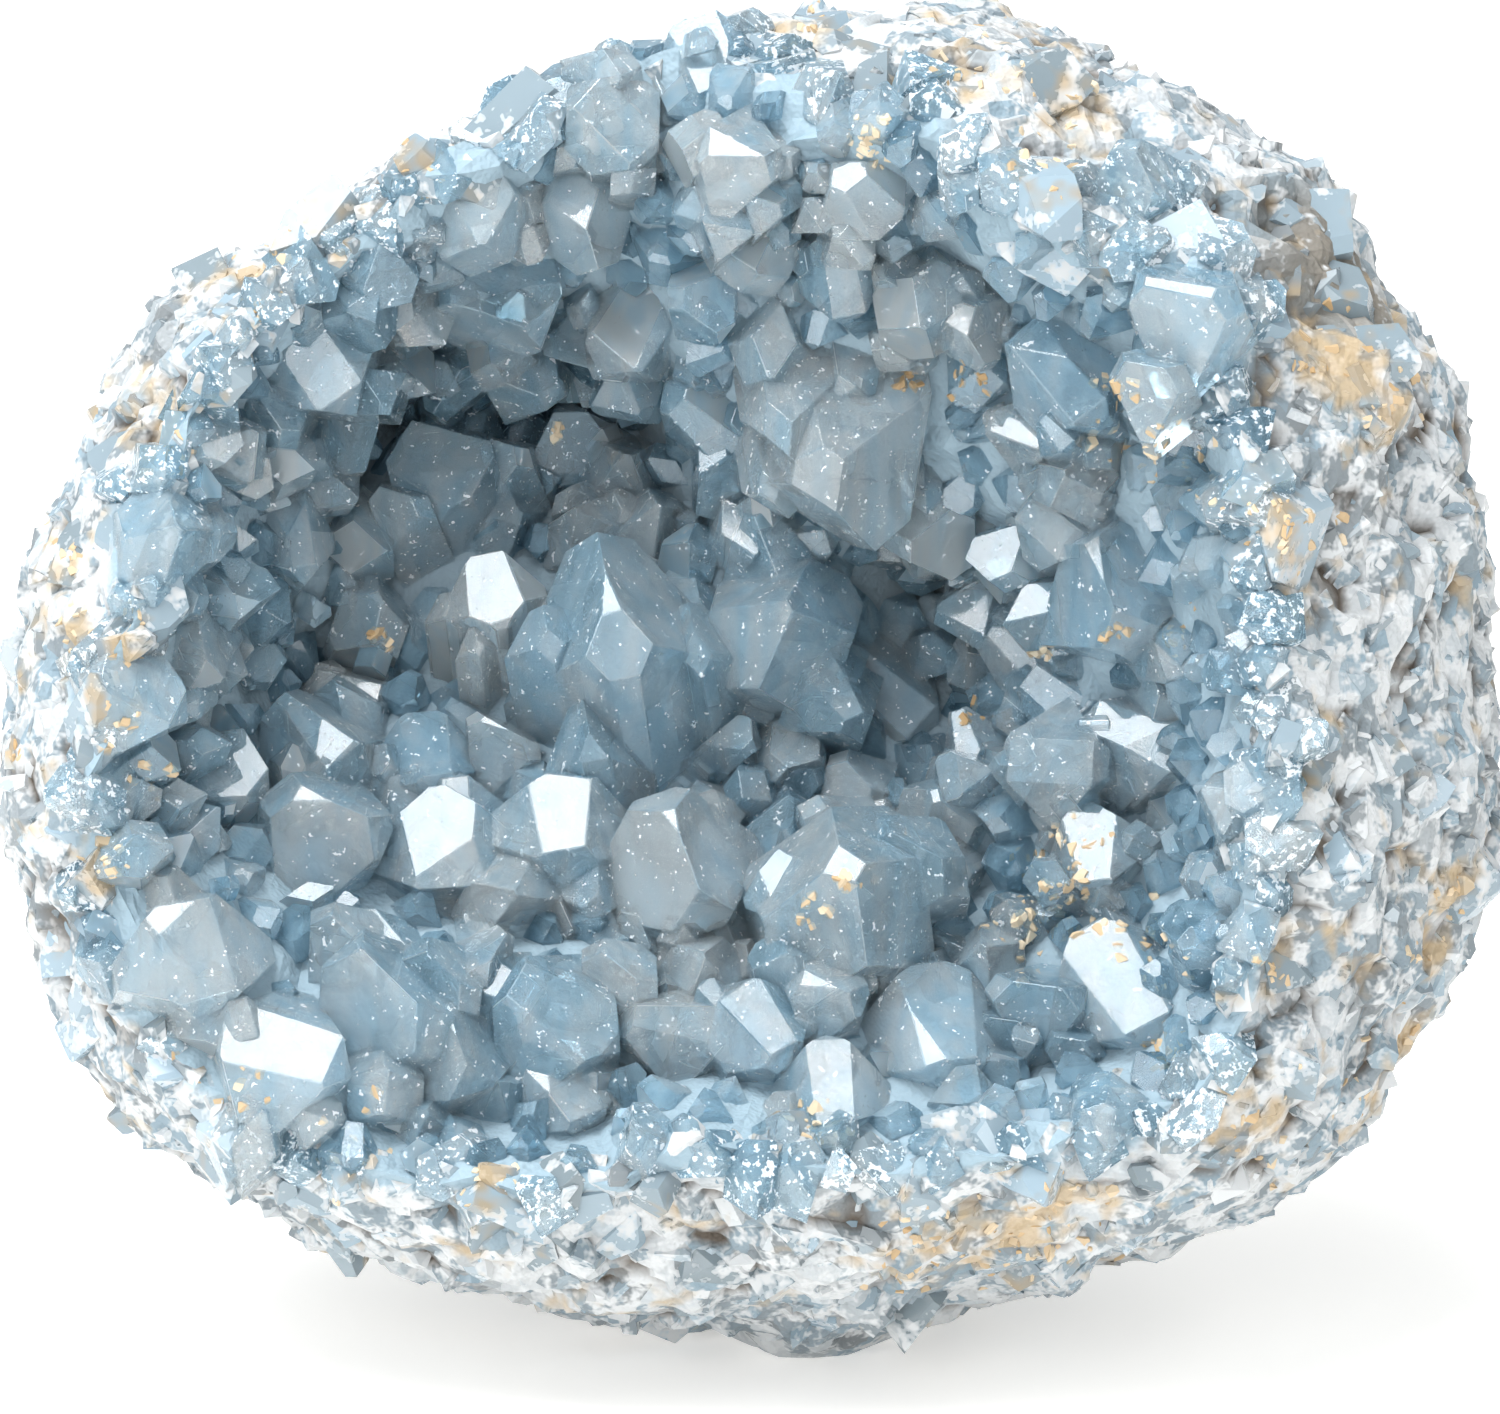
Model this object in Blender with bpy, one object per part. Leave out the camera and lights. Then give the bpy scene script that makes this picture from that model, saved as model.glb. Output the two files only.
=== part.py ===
# Celestite geode: a stone nodule broken open at the front, its hollow lined by one crust of blue crystals.
# Metres, +X to the right, +Y to the back, +Z up; the origin is the middle of the base, where it rests.

import math
import random

import bmesh
import bpy
from mathutils import Matrix, Vector, noise
from mathutils.bvhtree import BVHTree

mm = 0.001

# Driving sizes, in millimetres and in the opening's own frame:
# across runs to the right, up runs up the face of the opening, away runs into the stone.
opening_tilt = math.radians(14)  # the opening looks up by this much when the geode rests
front_bulge = 50  # how far the whole nodule would bulge forward of its girth
back_bulge = 50  # how far it bulges behind the girth
back_fullness = 2.6  # 2 is an ellipse, more is boxier
rim_blend = 9  # width of the step from the rim down into the hollow
depth_softness = 9  # named depths ease into each other within about the root of this
depth_falloff = 1.6  # how fast a named depth stops counting with distance
rough_skin_start = 0.6  # the skin's bumps end at this share of the rim's step
covered_margin = 1.5  # faces this far inside the edge of the hollow stay coarse
base_cut = 3.2  # how much of the lowest lump is worn to the resting flat
wall_gap = 0.45  # clearance between the crust and the stone
lining_overlap = 4  # the crust's faces are taken this far outside the edge before it is trimmed
lining_lean = 0.35  # faces that look further back than this carry no crust
lining_back = 0.8  # share of the back's bulge beyond which no crust grows
crust_thickness = 2.8
crust_edge = 1.1  # the layer's thickness where it thins out at the rim
base_sunk = 1.0  # how far the layer starts inside the stone before it is cut clear
root_depth = 3.0  # how far a crystal would run on past the wall
foot_place = (4, -64, 33)  # where the underside swells towards the resting spot
foot_reach = 45
foot_drop = 7
plain_back = 0.8  # the cap of the back that is left in larger facets
edge_points = 44  # points around the trimmed edge of the lining
flat_merge = math.radians(2)  # neighbours this near to one plane become one face
widest_plain = 12.5  # crystals wider than this have more of their upright edges cut to strips
wide_strips = 3
plain_strips = 1
strip_depth = (0.08, 0.30)  # how deep such an edge is cut, as a share of the half width
strip_tilt = (-0.06, 0.12)  # how much a strip leans in or out
longest_stem = 45
far_front = -200  # well in front of the opening, where sight lines to the wall start

# Crystal tips: slopes in degrees, sizes as shares of the crystal's width or thickness.
steep_slope = (46, 56)  # the two large faces
side_slope = (50, 62)  # the two small ones
slope_spread = 5
ridge_share = {"point": 0.03, "chisel": 0.22, "flat": 0.22}
flat_drop = 0.16  # how far below the tip a flat ending lies
flat_skew = 0.2
spare_top = 0.4  # stock above the tip before it is cut
steepest_lean = 0.05  # least share of the axis that points out of the opening, squared

# The stone's rough skin: height of the bumps, their size and the place of the pattern.
skin_bumps = [(1.8, 17, (0, 0, 0)), (1.5, 7, (31, 7, 5)), (1.3, 2.6, (3, 57, 11))]

# Colours, red, green and blue.
stone_colour = (0.62, 0.64, 0.64)
crystal_colour = (0.45, 0.62, 0.74)

# The girth, seen from the front: across and up.
girth_outline = [
    (-6.7, 69), (4, 69.5), (11, 71), (26.6, 70), (35, 67.9), (43, 64), (54.6, 58.2), (63, 51.8),
    (67.4, 44), (71, 38.5), (76, 31), (77, 22), (79, 8), (80, -8), (79, -20), (76, -30), (70, -41.7),
    (65.5, -50), (57.8, -57.2), (48, -61), (37.4, -64), (21.3, -68), (5.2, -71.5), (-2, -68.7),
    (-25, -67.4), (-38, -64), (-47.5, -61), (-59.3, -53.5), (-69, -46), (-76, -35), (-79, -23),
    (-80, -5), (-78.6, 3.4), (-75, 18.5), (-68.4, 30.3), (-64, 38.9), (-49.6, 47), (-40, 54.5),
    (-30, 60), (-20.6, 63), (-11, 66.8),
]

# The edge of the hollow, seen from the front.
mouth_outline = [
    (-6, 68), (8, 62), (27, 49), (46, 39), (51, 19), (53, -3), (53, -24), (47, -43), (27, -50),
    (10, -52), (-6, -50), (-27, -54), (-48, -50), (-64, -36), (-69, -19), (-65, 7), (-61, 24),
    (-54, 36), (-38, 50), (-21, 61),
]

# How deep the wall of the hollow lies: across, up, away.
hollow_depths = [
    (-27, 28, 34), (-38, 28, 26), (-17, 28, 24), (-14, 20, 14), (-33, 16, 10), (-45, 4, 20), (-29, 4, 8),
    (-16, 3, 8), (0, 6, 4), (14, -2, 12), (22, 8, 20), (23, -5, 18), (8, 36, -14), (-1, 51, -26),
    (-6, 38, -10), (-12, 37, 2), (-29, 40, -2), (-29, 50, -14), (-47, 33, -4), (-59, 13, -10),
    (-64, -3, -10), (-54, 6, 2), (-49, -10, 0), (-38, -16, -1), (-20, -17, -2), (-6, -20, -5),
    (11, -23, -8), (1, -13, 9), (20, -19, 0), (31, -11, -8), (38, 8, -13), (31, 24, -12), (40, 40, -26),
    (38, -33, -16), (20, -38, -18), (8, -44, -20), (-8, -40, -13), (-20, -36, -16), (-38, -35, -17),
    (-58, -29, -19), (-11, -48, -18), (-49, -44, -24), (5, -49, -25), (-6, 63, -14), (-20, 58, -10),
    (8, 58, -26),
]

# Swellings and pits of the stone's outside: across, up, away, reach, height.
stone_lumps = [
    (44, 42, -32, 13, 4.0), (50, 37, -30, 7, 3.0), (62, 29, -24, 11, 3.4), (56, 35, -24, 6, -4.5),
    (64, 35, -20, 9, 1.6), (68, 19, -22, 8, -3.0), (67, -3, -24, 9, -2.6), (49, 53, -22, 10, 2.6),
    (55, 46, -22, 6, -2.8), (60, -20, -26, 12, 2.2), (46, -52, -24, 11, 2.4), (15, -60, -22, 10, 2.2),
    (22, -66, -8, 9, -2.0), (-12, -57, -24, 10, -2.2), (-30, -60, -14, 10, 1.8), (-52, -52, -18, 11, 2.0),
    (-70, -34, -14, 8, -1.6), (-74, -10, -10, 10, 1.8), (-70, 16, -10, 9, -1.4), (-60, 36, -10, 8, 1.6),
    (26, 62, -22, 11, 2.2), (12, 62, -26, 8, -1.6), (66, -40, -16, 9, -2.2), (72, 6, -14, 9, 1.6),
    (30, -58, -24, 8, -1.4), (-2, 10, 50, 30, 2.5), (40, 30, 36, 22, -2.5), (-40, -20, 40, 24, 2.5),
    (-36, 34, 36, 18, -2.0), (30, -34, 40, 20, 2.0),
]

# The large crystals: across, up of the tip; rise in front of the wall; lean of the axis across and up;
# roll in degrees; width; thickness; how the tip ends; depth of the bright flat, or 0.
big_crystals = [
    (-15.8, 11.5, 21, -0.12, 0.70, 8, 20, 17, "chisel", 1.2),
    (4, 7, 15, 0.10, 0.25, 30, 17, 16, "point", 0),
    (14, -1, 7, 0.05, 0.10, 50, 14, 13, "flat", 0),
    (11.0, 14.8, 21, 0.12, -0.80, 30, 17, 15, "chisel", 0),
    (19.2, 10.6, 20, 0.02, -0.85, 50, 11, 10, "chisel", 0.8),
    (-7, -19, 17, 0.10, 0.20, 20, 17, 15, "chisel", 0.8),
    (10, -20, 22, 0.05, 0.34, 62, 20, 18, "point", 2.0),
    (3.2, -22.5, 17, -0.1, 0.2, 10, 8, 7, "flat", 1.6),
    (-19, -14.5, 13, 0.15, 0.35, 0, 16, 10, "chisel", 2.6),
    (-33.5, -17, 13, -0.1, 0.30, 5, 14, 11, "flat", 2.6),
    (-48, -4, 15, -0.22, 0.62, 40, 15, 12, "chisel", 2.4),
    (-44, -14, 13, 0.20, 0.40, 70, 16, 12, "chisel", 1.0),
    (-34.5, -6.5, 9, 0.1, 0.55, 10, 12, 9, "flat", 0),
    (-28, 11, 15, -0.05, 0.60, 12, 10, 8, "flat", 1.0),
    (-25, -23.5, 10, 0.10, 0.05, 25, 12, 9, "point", 0),
    (-26.5, -6, 8, 0.05, 0.45, 60, 9, 7, "chisel", 0.5),
    (-28.5, 45, 13, 0.10, -0.45, 85, 12, 11, "point", 0),
    (-28, 38, 13, -0.1, -0.30, 70, 20, 13, "chisel", 1.0),
    (-47, 34, 10, -0.05, 0.05, 35, 14, 12, "flat", 1.4),
    (-35, 26, 17, -0.25, 0.60, 60, 14, 11, "flat", 2.2),
    (-17, 45, 12, 0.20, -0.48, 15, 12, 10, "chisel", 0.8),
    (-14.5, 58, 10, 0.05, 0.10, 45, 11, 10, "flat", 0),
    (-12, 32, 14, 0.08, -0.55, 80, 11, 9, "point", 1.6),
    (-19, 33, 13, 0.05, -0.60, 70, 8, 6, "chisel", 0),
    (-5, 67, 7, -0.1, 0.45, 20, 12, 10, "flat", 1.0),
    (-1, 54.5, 9, 0.1, 0.15, 75, 11, 8, "chisel", 1.6),
    (12.5, 49, 9, 0.15, -0.10, 40, 10, 8, "flat", 1.0),
    (9.5, 41, 8, 0.05, -0.25, 10, 10, 9, "flat", 0),
    (18, 36, 11, 0.05, -0.35, 60, 11, 9, "point", 0),
    (23.5, 34, 10, 0.10, -0.45, 30, 8, 7, "chisel", 0.8),
    (0.5, 42, 9, -0.05, -0.30, 20, 8, 7, "point", 0),
    (-5.5, 37, 9, -0.10, -0.40, 55, 8, 7, "chisel", 0),
    (2, 31, 10, 0, -0.50, 80, 9, 7, "point", 0),
    (-6, 25, 11, -0.15, -0.45, 45, 10, 9, "flat", 0),
    (-13.5, 23.5, 9, 0.05, 0.35, 85, 12, 9, "point", 0),
    (-19, 17.5, 11, -0.20, 0.45, 25, 9, 8, "point", 0),
    (-10, 18, 10, 0.20, 0.40, 60, 9, 8, "point", 0),
    (31, 32, 12, -0.30, 0.15, 40, 13, 12, "flat", 1.0),
    (27.5, 25, 9, -0.35, -0.05, 70, 8, 7, "chisel", 1.2),
    (33, 21, 9, -0.25, 0.10, 15, 9, 8, "point", 0),
    (31, 16, 9, -0.35, 0.10, 50, 10, 8, "flat", 0),
    (37, 10, 11, -0.30, 0.22, 20, 17, 13, "chisel", 0.8),
    (40, -6, 10, -0.30, 0.25, 65, 12, 11, "flat", 0.8),
    (31, -9, 11, -0.28, 0.12, 85, 11, 11, "flat", 0),
    (19.5, -13, 12, -0.10, 0.45, 12, 11, 9, "point", 0.6),
    (11.5, -11, 8, 0.05, 0.40, 40, 9, 7, "chisel", 0),
    (35, -18, 9, -0.25, 0.20, 10, 10, 9, "flat", 1.4),
    (41, 52, 8, 0.1, 0.25, 25, 11, 8, "chisel", 0),
    (44, 40, 9, -0.2, 0.35, 75, 16, 10, "chisel", 1.0),
    (-60, 15, 8, 0.30, 0.20, 50, 11, 10, "point", 0),
    (-58.5, 4, 9, 0.30, 0.25, 20, 11, 10, "chisel", 1.8),
    (-63.5, -1.5, 9, 0.30, 0.20, 70, 11, 10, "flat", 0),
    (-40, 8, 9, 0.15, 0.35, 30, 9, 8, "point", 0.6),
    (-43, -1, 9, 0.15, 0.40, 80, 9, 8, "flat", 0),
    (-48, 16, 10, 0.25, 0.25, 10, 10, 9, "flat", 1.2),
    (-57.5, -28, 12, 0.15, 0.30, 15, 16, 12, "flat", 0.8),
    (-38, -32, 12, 0.05, 0.35, 45, 17, 14, "chisel", 0),
    (-49, -38, 10, 0.10, 0.35, 75, 17, 12, "flat", 0),
    (-31, -38.5, 10, 0.10, 0.35, 20, 14, 11, "chisel", 0.6),
    (-20.5, -34, 11, 0.05, 0.35, 60, 17, 12, "flat", 0),
    (-19.5, -43, 8, 0, 0.30, 30, 12, 9, "flat", 0.5),
    (-14, -31, 10, 0, 0.35, 50, 9, 8, "chisel", 0),
    (-5, -30, 11, 0.05, 0.35, 10, 10, 8, "point", 0),
    (-8, -36, 10, -0.05, 0.45, 85, 9, 12, "flat", 0),
    (1, -36, 12, 0.05, 0.35, 35, 11, 10, "flat", 0),
    (8.5, -42, 10, 0.05, 0.40, 5, 13, 9, "flat", 0),
    (8, -33, 12, 0, 0.30, 70, 10, 8, "chisel", 0.8),
    (20.5, -34.5, 11, 0.10, 0.45, 10, 19, 12, "flat", 0.5),
    (24.5, -29, 10, -0.05, 0.40, 60, 11, 8, "point", 0),
    (38, -31, 11, -0.15, 0.35, 30, 15, 13, "flat", 1.0),
    (30, -33, 10, -0.10, 0.35, 80, 11, 9, "chisel", 0),
]

big_crystal_scale = 1.34

# The scattered crystals between them.
small_crystal_count = 35
small_crystal_tries = 6000
small_crystal_across = (-70, 54)  # where the scattered crystals may stand, across and up
small_crystal_up = (-54, 62)
small_crystal_width = (7.5, 12.0)
small_crystal_rise = (5.0, 10.0)
small_crystal_room = 0.30  # share of the two widths that neighbours' tips keep between them
small_crystal_shape = (0.7, 0.95)  # thickness as a share of the width
small_crystal_aim = Vector((0, -60, 0))  # they lean towards this point
small_crystal_aiming = 0.8
small_crystal_seed = 7
first_small_seed = 500

bright_face_direction = (-0.15, 0.45, -0.88)  # crystals that catch the light share this direction


def spot(across, up, away):
    # A place given in the opening's frame, as a vector of that frame: x across, y away, z up.
    return Vector((across, away, up))


def clear_scene():
    # The part starts from nothing.
    for old in list(bpy.data.objects):
        bpy.data.objects.remove(old, do_unlink=True)


def polar(outline):
    # An outline as angle and radius pairs, in order of angle.
    return sorted((math.atan2(up, across), math.hypot(across, up)) for across, up in outline)


girth = polar(girth_outline)
mouth = polar(mouth_outline)


def radius_at(turns, angle):
    # The outline's radius at an angle, eased between the two neighbouring points.
    before = (turns[-1][0] - 2 * math.pi, turns[-1][1])
    for point in turns + [(turns[0][0] + 2 * math.pi, turns[0][1])]:
        if angle <= point[0]:
            share = (angle - before[0]) / (point[0] - before[0])
            eased = 0.5 * share + 0.5 * smooth_step(share)
            return before[1] + eased * (point[1] - before[1])
        before = point
    return before[1]


def smooth_step(value):
    value = min(max(value, 0), 1)
    return value * value * (3 - 2 * value)


def hollow_depth(across, up):
    # The named depths, each counting for more the nearer it is.
    total = 0
    weights = 0
    for there_across, there_up, depth in hollow_depths:
        apart = (across - there_across) ** 2 + (up - there_up) ** 2
        weight = 1 / (apart + depth_softness) ** depth_falloff
        total += weight * depth
        weights += weight
    return total / weights


def inside_mouth(across, up):
    # How far inside the edge of the hollow a point lies, in millimetres.
    return radius_at(mouth, math.atan2(up, across)) - math.hypot(across, up)


def nodule_point(direction):
    # The point of the nodule's surface that lies in a direction from its middle.
    share = min(math.hypot(direction.x, direction.z), 1)
    angle = math.atan2(direction.z, direction.x)
    reach = radius_at(girth, angle) * share
    across = reach * math.cos(angle)
    up = reach * math.sin(angle)
    if direction.y > 0:
        return spot(across, up, back_bulge * (1 - share ** back_fullness) ** (1 / back_fullness))
    dome = -front_bulge * math.sqrt(1 - share * share)
    sunk = smooth_step(inside_mouth(across, up) / rim_blend)
    return spot(across, up, dome + sunk * (hollow_depth(across, up) - dome))


def stone_bumps(point):
    # Outward movement of the stone's rough skin at a point.
    rough = 0
    for height, size, place in skin_bumps:
        rough += height * noise.noise(point / size + Vector(place))
    for across, up, away, reach, height in stone_lumps:
        apart = (point - spot(across, up, away)).length
        rough += height * smooth_step(1 - apart / reach)
    return rough


def in_hollow(point, direction, margin):
    return direction.y < 0 and inside_mouth(point.x, point.z) > margin


def make_stone_mesh():
    # The nodule with its hollow: fine outside, coarser behind the crust.
    bm = bmesh.new()
    bmesh.ops.create_icosphere(bm, subdivisions=4, radius=1)
    outside = set()
    for face in bm.faces:
        direction = face.calc_center_median().normalized()
        covered = in_hollow(nodule_point(direction), direction, covered_margin)
        if not covered and direction.y < plain_back:
            outside.update(face.edges)
    bmesh.ops.subdivide_edges(bm, edges=list(outside), cuts=1, use_grid_fill=True)
    bmesh.ops.triangulate(bm, faces=bm.faces)
    for vertex in bm.verts:
        direction = vertex.co.normalized()
        point = nodule_point(direction)
        if not in_hollow(point, direction, rim_blend * rough_skin_start):
            point += direction * stone_bumps(point)
        foot = (point - spot(*foot_place)).length
        point.z -= foot_drop * smooth_step(1 - foot / foot_reach)
        vertex.co = point
    bmesh.ops.recalc_face_normals(bm, faces=bm.faces)
    return bm


def hollow_patch(stone):
    # The stone's faces that the crust grows on.
    patch = []
    for face in stone.faces:
        middle = face.calc_center_median()
        near_front = middle.y < back_bulge * lining_back
        near_mouth = inside_mouth(middle.x, middle.z) > -lining_overlap
        if near_front and near_mouth and face.normal.y < lining_lean:
            patch.append(face)
    return patch


def make_base_mesh(stone):
    # A thin even layer over the hollow's wall, which every crystal is rooted in.
    bm = stone.copy()
    thickness = bm.verts.layers.float.new("thickness")
    bm.normal_update()
    kept = set(hollow_patch(bm))
    bmesh.ops.delete(bm, geom=[face for face in bm.faces if face not in kept], context="FACES")
    bm.normal_update()
    for vertex in bm.verts:
        vertex[thickness] = base_sunk + (crust_edge if vertex.is_boundary else crust_thickness)
    for vertex in bm.verts:
        vertex.co -= vertex.normal * base_sunk
    made = bmesh.ops.extrude_face_region(bm, geom=list(bm.faces), use_keep_orig=True)
    top = [item for item in made["geom"] if isinstance(item, bmesh.types.BMVert)]
    bm.normal_update()
    for vertex in top:
        vertex.co += vertex.normal * vertex[thickness]
    bmesh.ops.recalc_face_normals(bm, faces=bm.faces)
    return bm


def make_edge_prism():
    # A straight prism on the edge of the hollow, which trims the layer's outline.
    bm = bmesh.new()
    bmesh.ops.create_circle(bm, cap_ends=True, segments=edge_points, radius=1)
    for vertex in bm.verts:
        angle = math.atan2(vertex.co.y, vertex.co.x)
        reach = radius_at(mouth, angle)
        vertex.co = Vector((reach * math.cos(angle), -2 * front_bulge, reach * math.sin(angle)))
    made = bmesh.ops.extrude_face_region(bm, geom=list(bm.faces), use_keep_orig=True)
    back = [item for item in made["geom"] if isinstance(item, bmesh.types.BMVert)]
    bmesh.ops.translate(bm, vec=(0, 3.5 * front_bulge, 0), verts=back)
    bmesh.ops.recalc_face_normals(bm, faces=bm.faces)
    return bm


def cut_flat(bm, place, normal):
    # Slice away what lies beyond a plane and close the cut with one flat face.
    geometry = list(bm.verts) + list(bm.edges) + list(bm.faces)
    bmesh.ops.bisect_plane(bm, geom=geometry, plane_co=place, plane_no=normal, clear_outer=True)
    bmesh.ops.holes_fill(bm, edges=[edge for edge in bm.edges if edge.is_boundary])


def tip_planes(ending, width, thickness, chance, strips):
    # The planes that shape a crystal, in its own frame with the tip at the origin and z along it.
    steep = chance.uniform(*steep_slope)
    side = chance.uniform(*side_slope)
    ridge = thickness * ridge_share[ending]
    planes = []
    for sign in (-1, 1):
        tilt = math.radians(steep + chance.uniform(-slope_spread, slope_spread))
        planes.append((Vector((0, 0, 0)), Vector((sign * math.sin(tilt), 0, math.cos(tilt)))))
        tilt = math.radians(side + chance.uniform(-slope_spread, slope_spread))
        planes.append((Vector((0, sign * ridge, 0)), Vector((0, sign * math.sin(tilt), math.cos(tilt)))))
    if ending == "flat":
        skew_across = chance.uniform(-flat_skew, flat_skew)
        skew_up = chance.uniform(-flat_skew, flat_skew)
        planes.append((Vector((0, 0, -flat_drop * width)), Vector((skew_across, skew_up, 1))))
    edges = [Vector((0.5 * width, 0, 0)), Vector((0, 0.5 * thickness, 0))]
    edges += [-edge for edge in edges]
    chance.shuffle(edges)
    for edge in edges[:strips]:
        tilted = edge.normalized() + Vector((0, 0, chance.uniform(*strip_tilt)))
        planes.append((edge * (1 - chance.uniform(*strip_depth)), tilted))
    return planes


def make_crystal(tip, axis, roll, width, thickness, length, ending, bright, strips, seed):
    # A blocky blue crystal, its tip cut by flat planes, from the tip back down its stem.
    chance = random.Random(seed)
    bm = bmesh.new()
    top = width * spare_top
    bmesh.ops.create_cone(bm, cap_ends=True, segments=4, radius1=0.5, radius2=0.5, depth=length + top)
    bmesh.ops.scale(bm, vec=(width, thickness, 1), verts=bm.verts)
    bmesh.ops.translate(bm, vec=(0, 0, (top - length) / 2), verts=bm.verts)
    for place, normal in tip_planes(ending, width, thickness, chance, strips):
        cut_flat(bm, place, normal)
    across = Vector((1, 0, 0))
    side = (across - axis * across.dot(axis)).normalized()
    turn = Matrix((side, axis.cross(side), axis)).transposed()
    turn = turn @ Matrix.Rotation(roll, 3, "Z")
    bmesh.ops.transform(bm, matrix=Matrix.Translation(tip) @ turn.to_4x4(), verts=bm.verts)
    if bright:
        facing = spot(*bright_face_direction).normalized()
        reach = max(vertex.co.dot(facing) for vertex in bm.verts)
        cut_flat(bm, facing * (reach - bright), facing)
    return bm


def wall_ahead(wall, start, direction):
    # The distance from a point to the stone along a direction, or None where it misses.
    place, normal, face, distance = wall.ray_cast(start, direction)
    return distance


def rooted_crystal(wall, tip, axis, roll, width, thickness, ending, bright, strips, seed):
    # A crystal whose stem runs back from its tip until it is rooted in the wall.
    stem = wall_ahead(wall, tip, -axis) or width
    length = min(stem, longest_stem) + root_depth
    return make_crystal(tip, axis, roll, width, thickness, length, ending, bright, strips, seed)


def leaning_axis(across, up):
    # The axis of a crystal that leans this much across and up as it comes out of the opening.
    toward = math.sqrt(max(1 - across * across - up * up, steepest_lean))
    return Vector((across, -toward, up)).normalized()


def grow_big_crystals(wall):
    # Every row of the list, with its tip set in front of the wall behind it.
    grown = []
    for number, row in enumerate(big_crystals):
        across, up, rise, lean_across, lean_up, roll, width, thickness, ending, bright = row
        width *= big_crystal_scale
        thickness *= big_crystal_scale
        behind = wall_ahead(wall, Vector((across, far_front, up)), Vector((0, 1, 0)))
        tip = Vector((across, far_front + behind - rise, up))
        axis = leaning_axis(lean_across, lean_up)
        strips = wide_strips if width > widest_plain else plain_strips
        roll = math.radians(roll)
        grown.append(
            rooted_crystal(wall, tip, axis, roll, width, thickness, ending, bright, strips, number)
        )
    return grown


def small_places(chance):
    # Seeded places on the wall, each keeping some room to the crystals before it.
    taken = [(row[0], row[1], row[6]) for row in big_crystals]
    places = []
    tries = 0
    while len(places) < small_crystal_count and tries < small_crystal_tries:
        tries += 1
        across = chance.uniform(*small_crystal_across)
        up = chance.uniform(*small_crystal_up)
        width = chance.uniform(*small_crystal_width)
        if inside_mouth(across, up) < 1:
            continue
        gaps = (
            math.hypot(across - x, up - z) - small_crystal_room * (width + wide) for x, z, wide in taken
        )
        if min(gaps) < 0:
            continue
        taken.append((across, up, width))
        places.append((across, up, width))
    return places


def grow_small_crystals(wall):
    # Crystals scattered over the wall, standing out from it and leaning towards the opening.
    chance = random.Random(small_crystal_seed)
    grown = []
    for number, (across, up, width) in enumerate(small_places(chance)):
        start = Vector((across, far_front, up))
        place, normal, face, distance = wall.ray_cast(start, Vector((0, 1, 0)))
        if place is None:
            continue
        aim = (small_crystal_aim - place).normalized()
        axis = (normal + aim * small_crystal_aiming).normalized()
        wobble = Vector((chance.uniform(-0.35, 0.35), chance.uniform(-0.2, 0.1), chance.uniform(-0.3, 0.4)))
        axis = (axis + wobble).normalized()
        tip = place + axis * chance.uniform(*small_crystal_rise)
        roll = chance.uniform(0, math.tau)
        ending = chance.choice(("point", "chisel", "flat"))
        thickness = width * chance.uniform(*small_crystal_shape)
        seed = first_small_seed + number
        grown.append(rooted_crystal(wall, tip, axis, roll, width, thickness, ending, 0, 0, seed))
    return grown


def object_from(bm, name):
    # A named object in the scene with this mesh.
    mesh = bpy.data.meshes.new(name)
    bm.to_mesh(mesh)
    made = bpy.data.objects.new(name, mesh)
    bpy.context.collection.objects.link(made)
    return made


def joined(parts):
    # Several meshes in one, still overlapping.
    whole = bmesh.new()
    for part in parts:
        mesh = bpy.data.meshes.new("growing")
        part.to_mesh(mesh)
        whole.from_mesh(mesh)
        bpy.data.meshes.remove(mesh)
        part.free()
    return whole


def combine(target, other, operation, overlapping):
    # One Boolean between two objects, made part of the first one's mesh.
    modifier = target.modifiers.new(operation, "BOOLEAN")
    modifier.operation = operation
    modifier.object = other
    modifier.solver = "EXACT"
    modifier.use_self = overlapping
    graph = bpy.context.evaluated_depsgraph_get()
    graph.update()
    mesh = bpy.data.meshes.new_from_object(target.evaluated_get(graph))
    target.modifiers.clear()
    target.data = mesh
    bpy.data.objects.remove(other, do_unlink=True)


def keep_largest_body(target):
    # Drops the crumbs that the stone's wall cuts off from the crust.
    bm = bmesh.new()
    bm.from_mesh(target.data)
    bmesh.ops.remove_doubles(bm, verts=bm.verts, dist=0.002)
    bmesh.ops.dissolve_degenerate(bm, edges=bm.edges, dist=0.002)
    unseen = set(bm.faces)
    bodies = []
    while unseen:
        body = set()
        waiting = [unseen.pop()]
        while waiting:
            face = waiting.pop()
            body.add(face)
            near = {other for edge in face.edges for other in edge.link_faces if other in unseen}
            unseen -= near
            waiting.extend(near)
        bodies.append(body)
    bodies.sort(key=len)
    crumbs = [face for body in bodies[:-1] for face in body]
    if crumbs:
        bmesh.ops.delete(bm, geom=crumbs, context="FACES")
    bmesh.ops.dissolve_limit(
        bm, angle_limit=flat_merge, use_dissolve_boundaries=False, verts=bm.verts, edges=bm.edges
    )
    bmesh.ops.triangulate(bm, faces=bm.faces)
    bm.to_mesh(target.data)
    bm.free()


def make_crust(stone):
    # The lining: a thin layer and every crystal in one solid, cut to lie just clear of the wall.
    wall = BVHTree.FromBMesh(stone)
    crystals = joined(grow_big_crystals(wall) + grow_small_crystals(wall))
    crust = object_from(make_base_mesh(stone), "crystal_crust")
    combine(crust, object_from(make_edge_prism(), "edge"), "INTERSECT", True)
    combine(crust, object_from(crystals, "crystals"), "UNION", True)
    swollen = stone.copy()
    swollen.normal_update()
    for vertex in swollen.verts:
        vertex.co += vertex.normal * wall_gap
    combine(crust, object_from(swollen, "wall"), "DIFFERENCE", True)
    keep_largest_body(crust)
    return crust


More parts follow.
